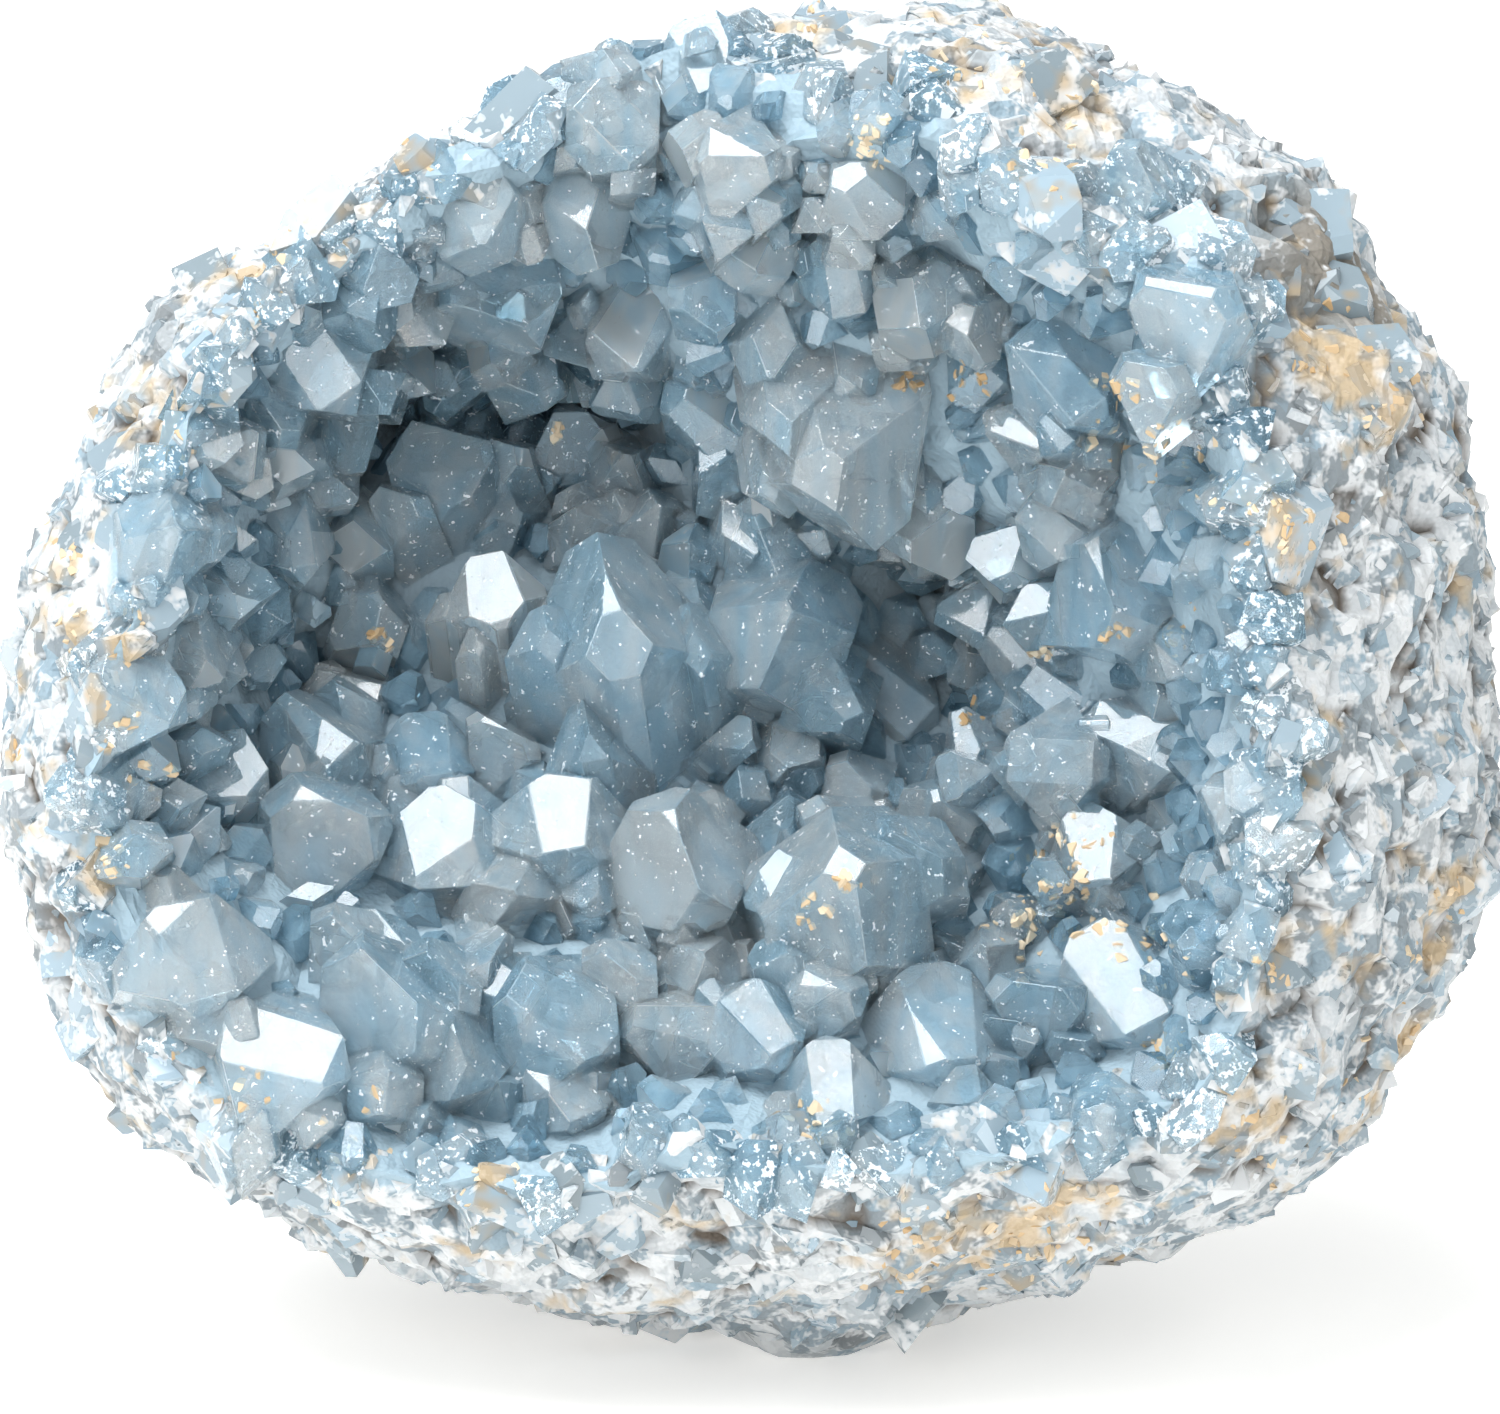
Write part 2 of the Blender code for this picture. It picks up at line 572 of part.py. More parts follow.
def principled(name, colour, roughness, transmission, ior):
    # A plain material of one colour.
    material = bpy.data.materials.new(name)
    material.use_nodes = True
    shader = material.node_tree.nodes["Principled BSDF"]
    shader.inputs["Base Color"].default_value = (*colour, 1)
    shader.inputs["Roughness"].default_value = roughness
    shader.inputs["Metallic"].default_value = 0
    shader.inputs["Transmission Weight"].default_value = transmission
    shader.inputs["IOR"].default_value = ior
    return material


def set_down(stone, crust):
    # Turns the opening up to its tilt, wears the lowest lump flat and moves the origin under the geode.
    lean = Matrix.Rotation(-opening_tilt, 4, "X")
    for piece in (stone, crust):
        piece.data.transform(lean)
    lowest = min(vertex.co.z for vertex in stone.data.vertices)
    base = lowest + base_cut
    bm = bmesh.new()
    bm.from_mesh(stone.data)
    cut_flat(bm, Vector((0, 0, base)), Vector((0, 0, -1)))
    bmesh.ops.triangulate(bm, faces=bm.faces)
    bm.to_mesh(stone.data)
    bm.free()
    corners = [vertex.co for piece in (stone, crust) for vertex in piece.data.vertices]
    middle_x = (min(c.x for c in corners) + max(c.x for c in corners)) / 2
    middle_y = (min(c.y for c in corners) + max(c.y for c in corners)) / 2
    move = Matrix.Scale(mm, 4) @ Matrix.Translation((-middle_x, -middle_y, -base))
    for piece in (stone, crust):
        piece.data.transform(move)


def finish(piece, material):
    # One material all over, and flat facets.
    piece.data.materials.clear()
    piece.data.materials.append(material)
    piece.data.shade_flat()


def main():
    # The stone and its lining, set down on the resting flat.
    clear_scene()
    stone_mesh = make_stone_mesh()
    crust = make_crust(stone_mesh)
    stone = object_from(stone_mesh, "rock_shell")
    set_down(stone, crust)
    finish(stone, principled("weathered stone", stone_colour, 0.85, 0, 1.5))
    finish(crust, principled("blue celestite", crystal_colour, 0.12, 0.5, 1.62))


main()
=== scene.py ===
import math
import random

import bmesh
import bpy
import numpy as np
from mathutils import Matrix, Vector, noise
from mathutils.bvhtree import BVHTree


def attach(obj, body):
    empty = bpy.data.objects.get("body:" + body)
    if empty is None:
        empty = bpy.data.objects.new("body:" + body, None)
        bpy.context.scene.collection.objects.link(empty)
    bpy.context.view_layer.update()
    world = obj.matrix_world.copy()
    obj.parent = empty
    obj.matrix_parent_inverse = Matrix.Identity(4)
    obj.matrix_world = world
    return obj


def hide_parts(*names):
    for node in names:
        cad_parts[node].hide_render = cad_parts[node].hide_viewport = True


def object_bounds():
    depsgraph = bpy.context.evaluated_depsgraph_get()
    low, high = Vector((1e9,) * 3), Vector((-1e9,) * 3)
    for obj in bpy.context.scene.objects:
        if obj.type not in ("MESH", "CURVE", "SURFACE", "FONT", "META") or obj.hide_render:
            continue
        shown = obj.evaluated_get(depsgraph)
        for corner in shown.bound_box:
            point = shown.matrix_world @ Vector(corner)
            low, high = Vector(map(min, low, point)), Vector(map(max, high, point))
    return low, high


# Celestite geode: rough stone with an open hollow, lined with pale blue crystals.
# Shapes are made in the opening's own frame, in millimetres: x across, y away from the viewer, z up.

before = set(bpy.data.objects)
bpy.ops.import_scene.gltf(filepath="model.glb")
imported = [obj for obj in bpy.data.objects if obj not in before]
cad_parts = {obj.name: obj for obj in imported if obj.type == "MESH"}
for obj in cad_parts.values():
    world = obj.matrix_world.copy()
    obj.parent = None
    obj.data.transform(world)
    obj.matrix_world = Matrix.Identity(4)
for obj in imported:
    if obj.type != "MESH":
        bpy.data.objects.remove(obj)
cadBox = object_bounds()
scene = bpy.context.scene
noise.seed_set(7)  # without it the grains tilt another way in each run

opening = {
    "tilt": math.radians(14),  # the opening looks up by this much
    "middle": (-0.000258, -0.003347, 0.074296),  # the middle of the girth, in metres
    "eye": Vector((-0.2, -1200, -3.8)),  # where the photograph was taken from
    "front": -200,  # clear in front of the whole stone
}
toWorld = (
    Matrix.Translation(opening["middle"])
    @ Matrix.Rotation(-opening["tilt"], 4, "X")
    @ Matrix.Scale(0.001, 4)
)
toOpening = toWorld.inverted()
upward = (toOpening.to_3x3() @ Vector((0, 0, 1))).normalized()
floorPoint = toOpening @ Vector((0, 0, 0))


# Helpers

def cadMesh(node):
    # a merged copy of a CAD node in the opening's frame
    bm = bmesh.new()
    bm.from_mesh(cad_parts[node].data)
    bmesh.ops.transform(bm, matrix=toOpening, verts=bm.verts)
    bmesh.ops.remove_doubles(bm, verts=bm.verts, dist=0.001)
    bm.normal_update()
    return bm


def pieceFromMesh(mesh, name, material):
    # a finished piece: in metres, in place, on the one body
    mesh.transform(toWorld)
    mesh.materials.append(material)
    piece = bpy.data.objects.new(name, mesh)
    scene.collection.objects.link(piece)
    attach(piece, "root")
    return piece


def pieceFrom(bm, name, material):
    mesh = bpy.data.meshes.new(name)
    bm.to_mesh(mesh)
    bm.free()
    return pieceFromMesh(mesh, name, material)


def joinMeshes(meshes):
    # many meshes in one, each kept as its own closed shape
    whole = bmesh.new()
    for mesh in meshes:
        whole.from_mesh(mesh)
        bpy.data.meshes.remove(mesh)
    return whole


def smoothStep(value):
    value = min(max(value, 0), 1)
    return value * value * (3 - 2 * value)


def heightOf(place):
    return (place - floorPoint).dot(upward)


def withinReach(place, room):
    # true where a shape of this half size keeps to the CAD box, but for a millimetre
    spot = toWorld @ place
    slack = 0.001 * (room - 1)
    return all(cadBox[0][n] + slack < spot[n] < cadBox[1][n] - slack for n in range(3))


def pointsOn(faces, count, chance):
    # seeded points spread by area: place and normal
    areas = np.cumsum([face.calc_area() for face in faces])
    points = []
    for _ in range(count):
        face = faces[int(np.searchsorted(areas, chance.uniform(0, areas[-1])))]
        corners = [vertex.co for vertex in face.verts]
        a, b = sorted((chance.random(), chance.random()))
        place = corners[0] * a + corners[1] * (b - a) + corners[2] * (1 - b)
        points.append((place, face.normal.copy()))
    return points


def spaced(points, gap):
    # keeps the points that are not too near to one kept before
    cells = {}
    kept = []
    steps = [(x, y, z) for x in (-1, 0, 1) for y in (-1, 0, 1) for z in (-1, 0, 1)]
    for place, normal in points:
        cell = tuple(int(math.floor(value / gap)) for value in place)
        near = [other for step in steps for other in cells.get(tuple(np.add(cell, step)), [])]
        if any((other - place).length < gap for other in near):
            continue
        cells.setdefault(cell, []).append(place)
        kept.append((place, normal))
    return kept


def spotsOn(faces, settings, chance):
    return spaced(pointsOn(faces, settings["tries"], chance), settings["gap"])


def paint(mesh, name, values):
    # one number for each point of a mesh, read by the materials
    attribute = mesh.attributes.new(name, "FLOAT", "POINT")
    numbers = np.empty(len(mesh.vertices), np.float32)
    numbers[:] = values
    attribute.data.foreach_set("value", numbers)


def paintFacets(mesh, seed):
    # one number for each flat, so that neighbours differ a little
    attribute = mesh.attributes.new("facet", "FLOAT", "FACE")
    attribute.data.foreach_set("value", np.random.default_rng(seed).random(len(mesh.polygons)))


def meshPoints(mesh):
    points = np.empty(len(mesh.vertices) * 3)
    mesh.vertices.foreach_get("co", points)
    return points.reshape(-1, 3)


def meshParts(mesh):
    # a template's points, corners and face sizes as arrays
    corners = np.empty(len(mesh.loops), np.int64)
    mesh.loops.foreach_get("vertex_index", corners)
    sizes = np.empty(len(mesh.polygons), np.int64)
    mesh.polygons.foreach_get("loop_total", sizes)
    return meshPoints(mesh), corners, sizes


def stamped(templates, stamps, name):
    # copies of the templates in one mesh: stamps lists (template number, matrix, tone, dust)
    parts = [meshParts(template) for template in templates]
    points = []
    corners = []
    sizes = []
    tones = []
    dusts = []
    start = 0
    for which, matrix, tone, dust in stamps:
        places, corner, size = parts[which]
        grid = np.array(matrix)
        points.append(places @ grid[:3, :3].T + grid[:3, 3])
        corners.append(corner + start)
        sizes.append(size)
        tones.append(np.full(len(places), tone))
        dusts.append(np.full(len(places), dust))
        start += len(places)
    corners = np.concatenate(corners)
    sizes = np.concatenate(sizes)
    mesh = bpy.data.meshes.new(name)
    mesh.vertices.add(start)
    mesh.vertices.foreach_set("co", np.concatenate(points).ravel())
    mesh.loops.add(len(corners))
    mesh.loops.foreach_set("vertex_index", corners)
    mesh.polygons.add(len(sizes))
    mesh.polygons.foreach_set("loop_start", np.concatenate(([0], np.cumsum(sizes)[:-1])))
    mesh.update(calc_edges=True)
    mesh.shade_flat()
    paint(mesh, "tone", np.concatenate(tones))
    paint(mesh, "dust", np.concatenate(dusts))
    paintFacets(mesh, start)
    for template in templates:
        bpy.data.meshes.remove(template)
    return mesh


stoneMesh = cadMesh("rock_shell")
wall = BVHTree.FromBMesh(stoneMesh)
crustMesh = cadMesh("crystal_crust")
crustTree = BVHTree.FromBMesh(crustMesh)
crustGap = {face.index: crustTree.find_nearest(face.calc_center_median())[3] for face in stoneMesh.faces}
linedWithin = 1.3  # stone nearer than this to the crust, in millimetres, is the wall of the hollow
bareBeyond = 2.5  # and beyond this it is outer skin
lining = [face for face in stoneMesh.faces if crustGap[face.index] < linedWithin]
outside = [face for face in stoneMesh.faces if crustGap[face.index] > bareBeyond]
outsideTree = BVHTree.FromPolygons(
    [vertex.co for vertex in stoneMesh.verts],
    [[vertex.index for vertex in face.verts] for face in outside],
)
print("frame ready")


# Crystals

crystalShape = {
    "steep": (46, 56),  # slope of the two large tip faces, in degrees
    "side": (50, 62),  # slope of the two smaller ones
    "edge": 0.11,  # width of the fine chamfer along every edge, in millimetres
    "root": 3.0,  # how far a stem runs on past the wall
    "brightSide": Vector((-0.15, -0.88, 0.45)).normalized(),  # faces that catch the window light
    "waver": 5,  # how much each slope differs from its fellow, in degrees
    "ridge": {"point": 0.03, "chisel": 0.22, "flat": 0.22},  # half the ridge, in thicknesses
    "capDepth": 0.16,  # how far a flat ending is cut below the tip, in widths
    "capSkew": 0.2,
    "strip": (0.08, 0.30),  # how deep an upright edge is cut, as a share of the half width
    "stripLean": (-0.06, 0.12),
    "widen": 1.34,  # the crystals with their frayed edges are wider than the sizes listed below
    "wide": 12.5,  # crystals wider than this have more strips and more neighbours
    "longest": 45,  # no stem is longer, in millimetres
    "tone": (0.25, 0.95),  # from deep blue to pale
    "seed": 90,
    "rimReach": 10,  # crystals this near the outer skin grow duller and dustier
    "depths": (2, 26),  # painted shade: crystals darken from this far behind the girth, over this distance
}

# across, up of the tip; rise in front of the wall; lean across and up; roll; width; thickness;
# ending; depth of the bright flat
bigCrystals = [
    (-15.8, 11.5, 21, -0.12, 0.70, 8, 20, 17, "chisel", 1.2),
    (4, 7, 15, 0.10, 0.25, 30, 17, 16, "point", 0),
    (14, -1, 7, 0.05, 0.10, 50, 14, 13, "flat", 0),
    (11.0, 14.8, 21, 0.12, -0.80, 30, 17, 15, "chisel", 0),
    (19.2, 10.6, 20, 0.02, -0.85, 50, 11, 10, "chisel", 0.8),
    (-7, -19, 17, 0.10, 0.20, 20, 17, 15, "chisel", 0.8),
    (10, -20, 22, 0.05, 0.34, 62, 20, 18, "point", 2.0),
    (3.2, -22.5, 17, -0.1, 0.2, 10, 8, 7, "flat", 1.6),
    (-19, -14.5, 13, 0.15, 0.35, 0, 16, 10, "chisel", 2.6),
    (-33.5, -17, 13, -0.1, 0.30, 5, 14, 11, "flat", 2.6),
    (-48, -4, 15, -0.22, 0.62, 40, 15, 12, "chisel", 2.4),
    (-44, -14, 13, 0.20, 0.40, 70, 16, 12, "chisel", 1.0),
    (-34.5, -6.5, 9, 0.1, 0.55, 10, 12, 9, "flat", 0),
    (-28, 11, 15, -0.05, 0.60, 12, 10, 8, "flat", 1.0),
    (-25, -23.5, 10, 0.10, 0.05, 25, 12, 9, "point", 0),
    (-26.5, -6, 8, 0.05, 0.45, 60, 9, 7, "chisel", 0.5),
    (-28.5, 45, 13, 0.10, -0.45, 85, 12, 11, "point", 0),
    (-28, 38, 13, -0.1, -0.30, 70, 20, 13, "chisel", 1.0),
    (-47, 34, 10, -0.05, 0.05, 35, 14, 12, "flat", 1.4),
    (-35, 26, 17, -0.25, 0.60, 60, 14, 11, "flat", 2.2),
    (-17, 45, 12, 0.20, -0.48, 15, 12, 10, "chisel", 0.8),
    (-14.5, 58, 10, 0.05, 0.10, 45, 11, 10, "flat", 0),
    (-12, 32, 14, 0.08, -0.55, 80, 11, 9, "point", 1.6),
    (-19, 33, 13, 0.05, -0.60, 70, 8, 6, "chisel", 0),
    (-5, 67, 7, -0.1, 0.45, 20, 12, 10, "flat", 1.0),
    (-1, 54.5, 9, 0.1, 0.15, 75, 11, 8, "chisel", 1.6),
    (12.5, 49, 9, 0.15, -0.10, 40, 10, 8, "flat", 1.0),
    (9.5, 41, 8, 0.05, -0.25, 10, 10, 9, "flat", 0),
    (18, 36, 11, 0.05, -0.35, 60, 11, 9, "point", 0),
    (23.5, 34, 10, 0.10, -0.45, 30, 8, 7, "chisel", 0.8),
    (0.5, 42, 9, -0.05, -0.30, 20, 8, 7, "point", 0),
    (-5.5, 37, 9, -0.10, -0.40, 55, 8, 7, "chisel", 0),
    (2, 31, 10, 0, -0.50, 80, 9, 7, "point", 0),
    (-6, 25, 11, -0.15, -0.45, 45, 10, 9, "flat", 0),
    (-13.5, 23.5, 9, 0.05, 0.35, 85, 12, 9, "point", 0),
    (-19, 17.5, 11, -0.20, 0.45, 25, 9, 8, "point", 0),
    (-10, 18, 10, 0.20, 0.40, 60, 9, 8, "point", 0),
    (31, 32, 12, -0.30, 0.15, 40, 13, 12, "flat", 1.0),
    (27.5, 25, 9, -0.35, -0.05, 70, 8, 7, "chisel", 1.2),
    (33, 21, 9, -0.25, 0.10, 15, 9, 8, "point", 0),
    (31, 16, 9, -0.35, 0.10, 50, 10, 8, "flat", 0),
    (37, 10, 11, -0.30, 0.22, 20, 17, 13, "chisel", 0.8),
    (40, -6, 10, -0.30, 0.25, 65, 12, 11, "flat", 0.8),
    (31, -9, 11, -0.28, 0.12, 85, 11, 11, "flat", 0),
    (19.5, -13, 12, -0.10, 0.45, 12, 11, 9, "point", 0.6),
    (11.5, -11, 8, 0.05, 0.40, 40, 9, 7, "chisel", 0),
    (35, -18, 9, -0.25, 0.20, 10, 10, 9, "flat", 1.4),
    (41, 52, 8, 0.1, 0.25, 25, 11, 8, "chisel", 0),
    (44, 40, 9, -0.2, 0.35, 75, 16, 10, "chisel", 1.0),
    (-60, 15, 8, 0.30, 0.20, 50, 11, 10, "point", 0),
    (-58.5, 4, 9, 0.30, 0.25, 20, 11, 10, "chisel", 1.8),
    (-63.5, -1.5, 9, 0.30, 0.20, 70, 11, 10, "flat", 0),
    (-40, 8, 9, 0.15, 0.35, 30, 9, 8, "point", 0.6),
    (-43, -1, 9, 0.15, 0.40, 80, 9, 8, "flat", 0),
    (-48, 16, 10, 0.25, 0.25, 10, 10, 9, "flat", 1.2),
    (-57.5, -28, 12, 0.15, 0.30, 15, 16, 12, "flat", 0.8),
    (-38, -32, 12, 0.05, 0.35, 45, 17, 14, "chisel", 0),
    (-49, -38, 10, 0.10, 0.35, 75, 17, 12, "flat", 0),
    (-31, -38.5, 10, 0.10, 0.35, 20, 14, 11, "chisel", 0.6),
    (-20.5, -34, 11, 0.05, 0.35, 60, 17, 12, "flat", 0),
    (-19.5, -43, 8, 0, 0.30, 30, 12, 9, "flat", 0.5),
    (-14, -31, 10, 0, 0.35, 50, 9, 8, "chisel", 0),
    (-5, -30, 11, 0.05, 0.35, 10, 10, 8, "point", 0),
    (-8, -36, 10, -0.05, 0.45, 85, 9, 12, "flat", 0),
    (1, -36, 12, 0.05, 0.35, 35, 11, 10, "flat", 0),
    (8.5, -42, 10, 0.05, 0.40, 5, 13, 9, "flat", 0),
    (8, -33, 12, 0, 0.30, 70, 10, 8, "chisel", 0.8),
    (20.5, -34.5, 11, 0.10, 0.45, 10, 19, 12, "flat", 0.5),
    (24.5, -29, 10, -0.05, 0.40, 60, 11, 8, "point", 0),
    (38, -31, 11, -0.15, 0.35, 30, 15, 13, "flat", 1.0),
    (30, -33, 10, -0.10, 0.35, 80, 11, 9, "chisel", 0),
]


def cutFlat(bm, place, normal):
    # slices off what lies beyond a plane and closes the cut
    geometry = list(bm.verts) + list(bm.edges) + list(bm.faces)
    bmesh.ops.bisect_plane(bm, geom=geometry, plane_co=place, plane_no=normal, clear_outer=True)
    bmesh.ops.holes_fill(bm, edges=[edge for edge in bm.edges if edge.is_boundary])


def tipPlanes(ending, width, thickness, chance, strips):
    # the planes that shape a crystal: the tip is at the origin and the stem below it
    steep = math.radians(chance.uniform(*crystalShape["steep"]))
    side = math.radians(chance.uniform(*crystalShape["side"]))
    ridge = thickness * crystalShape["ridge"][ending]
    waver = crystalShape["waver"]
    planes = []
    for sign in (-1, 1):
        tilt = steep + math.radians(chance.uniform(-waver, waver))
        planes.append((Vector((0, 0, 0)), Vector((sign * math.sin(tilt), 0, math.cos(tilt)))))
        tilt = side + math.radians(chance.uniform(-waver, waver))
        planes.append((Vector((0, sign * ridge, 0)), Vector((0, sign * math.sin(tilt), math.cos(tilt)))))
    if ending == "flat":
        skew = crystalShape["capSkew"]
        facing = Vector((chance.uniform(-skew, skew), chance.uniform(-skew, skew), 1))
        planes.append((Vector((0, 0, -crystalShape["capDepth"] * width)), facing))
    edges = [Vector((0.5 * width, 0, 0)), Vector((0, 0.5 * thickness, 0))]
    edges += [-edge for edge in edges]
    chance.shuffle(edges)
    for edge in edges[:strips]:
        tilted = edge.normalized() + Vector((0, 0, chance.uniform(*crystalShape["stripLean"])))
        planes.append((edge * (1 - chance.uniform(*crystalShape["strip"])), tilted))
    return planes


def crystalMesh(size, length, ending, bright, strips, seed, turn, tip, edge):
    # one crystal in the opening's frame: a blocky prism with some of its upright edges cut to strips
    width, thickness = size
    chance = random.Random(seed)
    bm = bmesh.new()
    bmesh.ops.create_cone(
        bm, cap_ends=True, segments=4, radius1=0.5, radius2=0.5, depth=length + width * 0.4
    )
    bmesh.ops.scale(bm, vec=(width, thickness, 1), verts=bm.verts)
    bmesh.ops.translate(bm, vec=(0, 0, width * 0.2 - length * 0.5), verts=bm.verts)
    for place, normal in tipPlanes(ending, width, thickness, chance, strips):
        cutFlat(bm, place, normal)
    bmesh.ops.transform(bm, matrix=Matrix.Translation(tip) @ turn.to_4x4(), verts=bm.verts)
    if bright:
        facing = crystalShape["brightSide"]
        reach = max(vertex.co.dot(facing) for vertex in bm.verts)
        cutFlat(bm, facing * (reach - bright), facing)
    if edge:
        bmesh.ops.bevel(
            bm, geom=list(bm.edges), offset=edge, offset_type="OFFSET", segments=1,
            profile=0.5, affect="EDGES", clamp_overlap=True, material=-1,
        )
    mesh = bpy.data.meshes.new("crystal")
    bm.to_mesh(mesh)
    bm.free()
    return mesh


def axisTurn(axis, roll):
    # the turn that stands a crystal on its axis
    across = Vector((1, 0, 0))
    if abs(axis.x) > 0.95:
        across = Vector((0, 0, 1))
    side = (across - axis * across.dot(axis)).normalized()
    turn = Matrix((side, axis.cross(side), axis)).transposed()
    return turn @ Matrix.Rotation(roll, 3, "Z")


def stemLength(tip, axis, width):
    hit = wall.ray_cast(tip, -axis)
    return min(hit[3] or width, crystalShape["longest"]) + crystalShape["root"]


def rimShare(place):
    # 1 at the outer skin, 0 well inside the hollow
    return 1 - smoothStep(outsideTree.find_nearest(place)[3] / crystalShape["rimReach"])


def paintedDepthShade(place):
    # painted shade: crystals grow darker towards the bottom of the hollow, and so does its wall
    start, reach = crystalShape["depths"]
    return smoothStep((place.y - start) / reach)


def paintCrystal(mesh, tone, dust, tip, axis, width, seed):
    # clearer and bluer towards the tip, milky towards the root, and painted shade takes the crystals
    # deep in the hollow down
    along = np.clip((np.array(tip) - meshPoints(mesh)) @ np.array(axis) / (width * 1.6), 0, 1)
    paint(mesh, "tone", tone - 0.12 + 0.35 * along - paintedDepthShade(tip))
    paint(mesh, "dust", dust)
    paintFacets(mesh, seed)


sideCrystals = {
    "count": (2, 4),  # beside a narrow crystal and beside a wide one
    "apart": (0.26, 0.42),  # from the large crystal's axis, in its widths
    "lower": (0.16, 0.5),  # how far the tips stay behind, in widths
    "width": (0.36, 0.62),
    "thickness": (0.7, 1),
    "tone": (-0.3, 0.3),  # added to the large crystal's own
    "edge": 0.09,
    "seed": 900,
}


def sideGrowth(tip, turn, width, chance):
    # the place of a smaller crystal that grew parallel to a large one, against its side
    spin = Matrix.Rotation(chance.uniform(0, math.tau), 3, "Z")
    sideways = spin @ Vector((width * chance.uniform(*sideCrystals["apart"]), 0, 0))
    return tip + turn @ (sideways - Vector((0, 0, width * chance.uniform(*sideCrystals["lower"]))))


def sideCrystalMeshes(number, tip, turn, axis, length, width, tone, chance):
    # the small crystals round one large crystal
    grown = []
    for part in range(sideCrystals["count"][width > crystalShape["wide"]]):
        side = sideGrowth(tip, turn, width, chance)
        small = width * chance.uniform(*sideCrystals["width"])
        size = (small, small * chance.uniform(*sideCrystals["thickness"]))
        ending = chance.choice(("chisel", "chisel", "point", "flat"))
        if withinReach(side, 1):
            seed = sideCrystals["seed"] + 5 * number + part
            mesh = crystalMesh(size, length, ending, 0, 1, seed, turn, side, sideCrystals["edge"])
            ownTone = tone + chance.uniform(*sideCrystals["tone"])
            paintCrystal(mesh, ownTone, 0.2 + 0.6 * rimShare(side), side, axis, small, seed)
            grown.append(mesh)
    return grown


def bigCrystalMeshes():
    grown = []
    beside = []
    for number, row in enumerate(bigCrystals):
        across, up, rise, leanAcross, leanUp, roll, width, thickness, ending, bright = row
        width *= crystalShape["widen"]
        thickness *= crystalShape["widen"]
        behind = wall.ray_cast(Vector((across, opening["front"], up)), Vector((0, 1, 0)))[0]
        tip = Vector((across, behind.y - rise, up))
        toward = math.sqrt(max(1 - leanAcross ** 2 - leanUp ** 2, 0.05))
        axis = Vector((leanAcross, -toward, leanUp)).normalized()
        turn = axisTurn(axis, math.radians(roll))
        length = stemLength(tip, axis, width)
        strips = 3 if width > crystalShape["wide"] else 1
        size = (width, thickness)
        mesh = crystalMesh(size, length, ending, bright, strips, number, turn, tip, crystalShape["edge"])
        chance = random.Random(number + crystalShape["seed"])
        tone = chance.uniform(*crystalShape["tone"])
        paintCrystal(mesh, tone, 0.15 + 0.6 * rimShare(tip), tip, axis, width, number)
        grown.append(mesh)
        beside += sideCrystalMeshes(number, tip, turn, axis, length, width, tone, chance)
    return grown, beside


middleCrystals = {
    "tries": 4000,
    "gap": 4.6,
    "width": (7, 15),
    "rise": (3.5, 9),  # how far the tip stands from the wall
    "thickness": (0.65, 0.95),  # in widths
    "spread": 0.35,  # how far the crystals lean about
    "tone": (0, 0.8),
    "edge": 0.08,
    "seed": 11,
}
druseCrystals = {
    "tries": 4000,
    "gap": 4.2,
    "width": (4.5, 9),
    "rise": (2, 4.5),
    "thickness": (0.65, 0.95),
    "spread": 0.5,
    "tone": (-0.5, 0.5),
    "stem": 0.9,  # in widths
    "shapes": 12,
    "seed": 12,
}
mouth = Vector((0, -70, 0))  # where crystals on every wall lean to


def growthAxis(place, normal, chance, spread):
    # crystals stand out from the wall and lean towards the opening
    outward = (mouth - place).normalized()
    wobble = Vector([chance.uniform(-spread, spread) for _ in range(3)])
    return (normal + outward * 0.6 + wobble).normalized()


def grownOver(tree, tip, axis, rise):
    # true where a larger crystal hides the tip, or the stem would come out of its side
    place, normal = tree.find_nearest(tip)[:2]
    if (tip - place).dot(normal) < 0:
        return True
    return tree.ray_cast(tip, -axis, rise)[0] is not None


def inFront(tree, tip, width):
    # true where a crystal would stand between the viewer and a larger one
    hidden = 0
    for across, up in ((0, 0), (-0.3, 0), (0.3, 0), (0, -0.3), (0, 0.3)):
        place = tip + Vector((across, 0, up)) * width
        sight = (place - opening["eye"]).normalized()
        hidden += tree.ray_cast(place, sight)[0] is not None
    return hidden > 1


def middleCrystalMeshes(faces, tree):
    settings = middleCrystals
    chance = random.Random(settings["seed"])
    grown = []
    for number, (place, normal) in enumerate(spotsOn(faces, settings, chance)):
        axis = growthAxis(place, normal, chance, settings["spread"])
        width = chance.uniform(*settings["width"])
        rise = chance.uniform(*settings["rise"]) * (1 - 0.6 * rimShare(place))
        tip = place + axis * rise
        ending = chance.choice(("point", "chisel", "flat"))
        thickness = width * chance.uniform(*settings["thickness"])
        turn = axisTurn(axis, chance.uniform(0, math.tau))
        strips = chance.choice((1, 2))
        tone = chance.uniform(*settings["tone"])
        if grownOver(tree, tip, axis, rise - 1) or inFront(tree, tip, width) or not withinReach(tip, 1):
            continue
        seed = 3000 + number
        size = (width, thickness)
        mesh = crystalMesh(size, rise + 2, ending, 0, strips, seed, turn, tip, settings["edge"])
        paintCrystal(mesh, tone, 0.2 + 0.7 * rimShare(tip), tip, axis, width, seed)
        grown.append(mesh)
    return grown


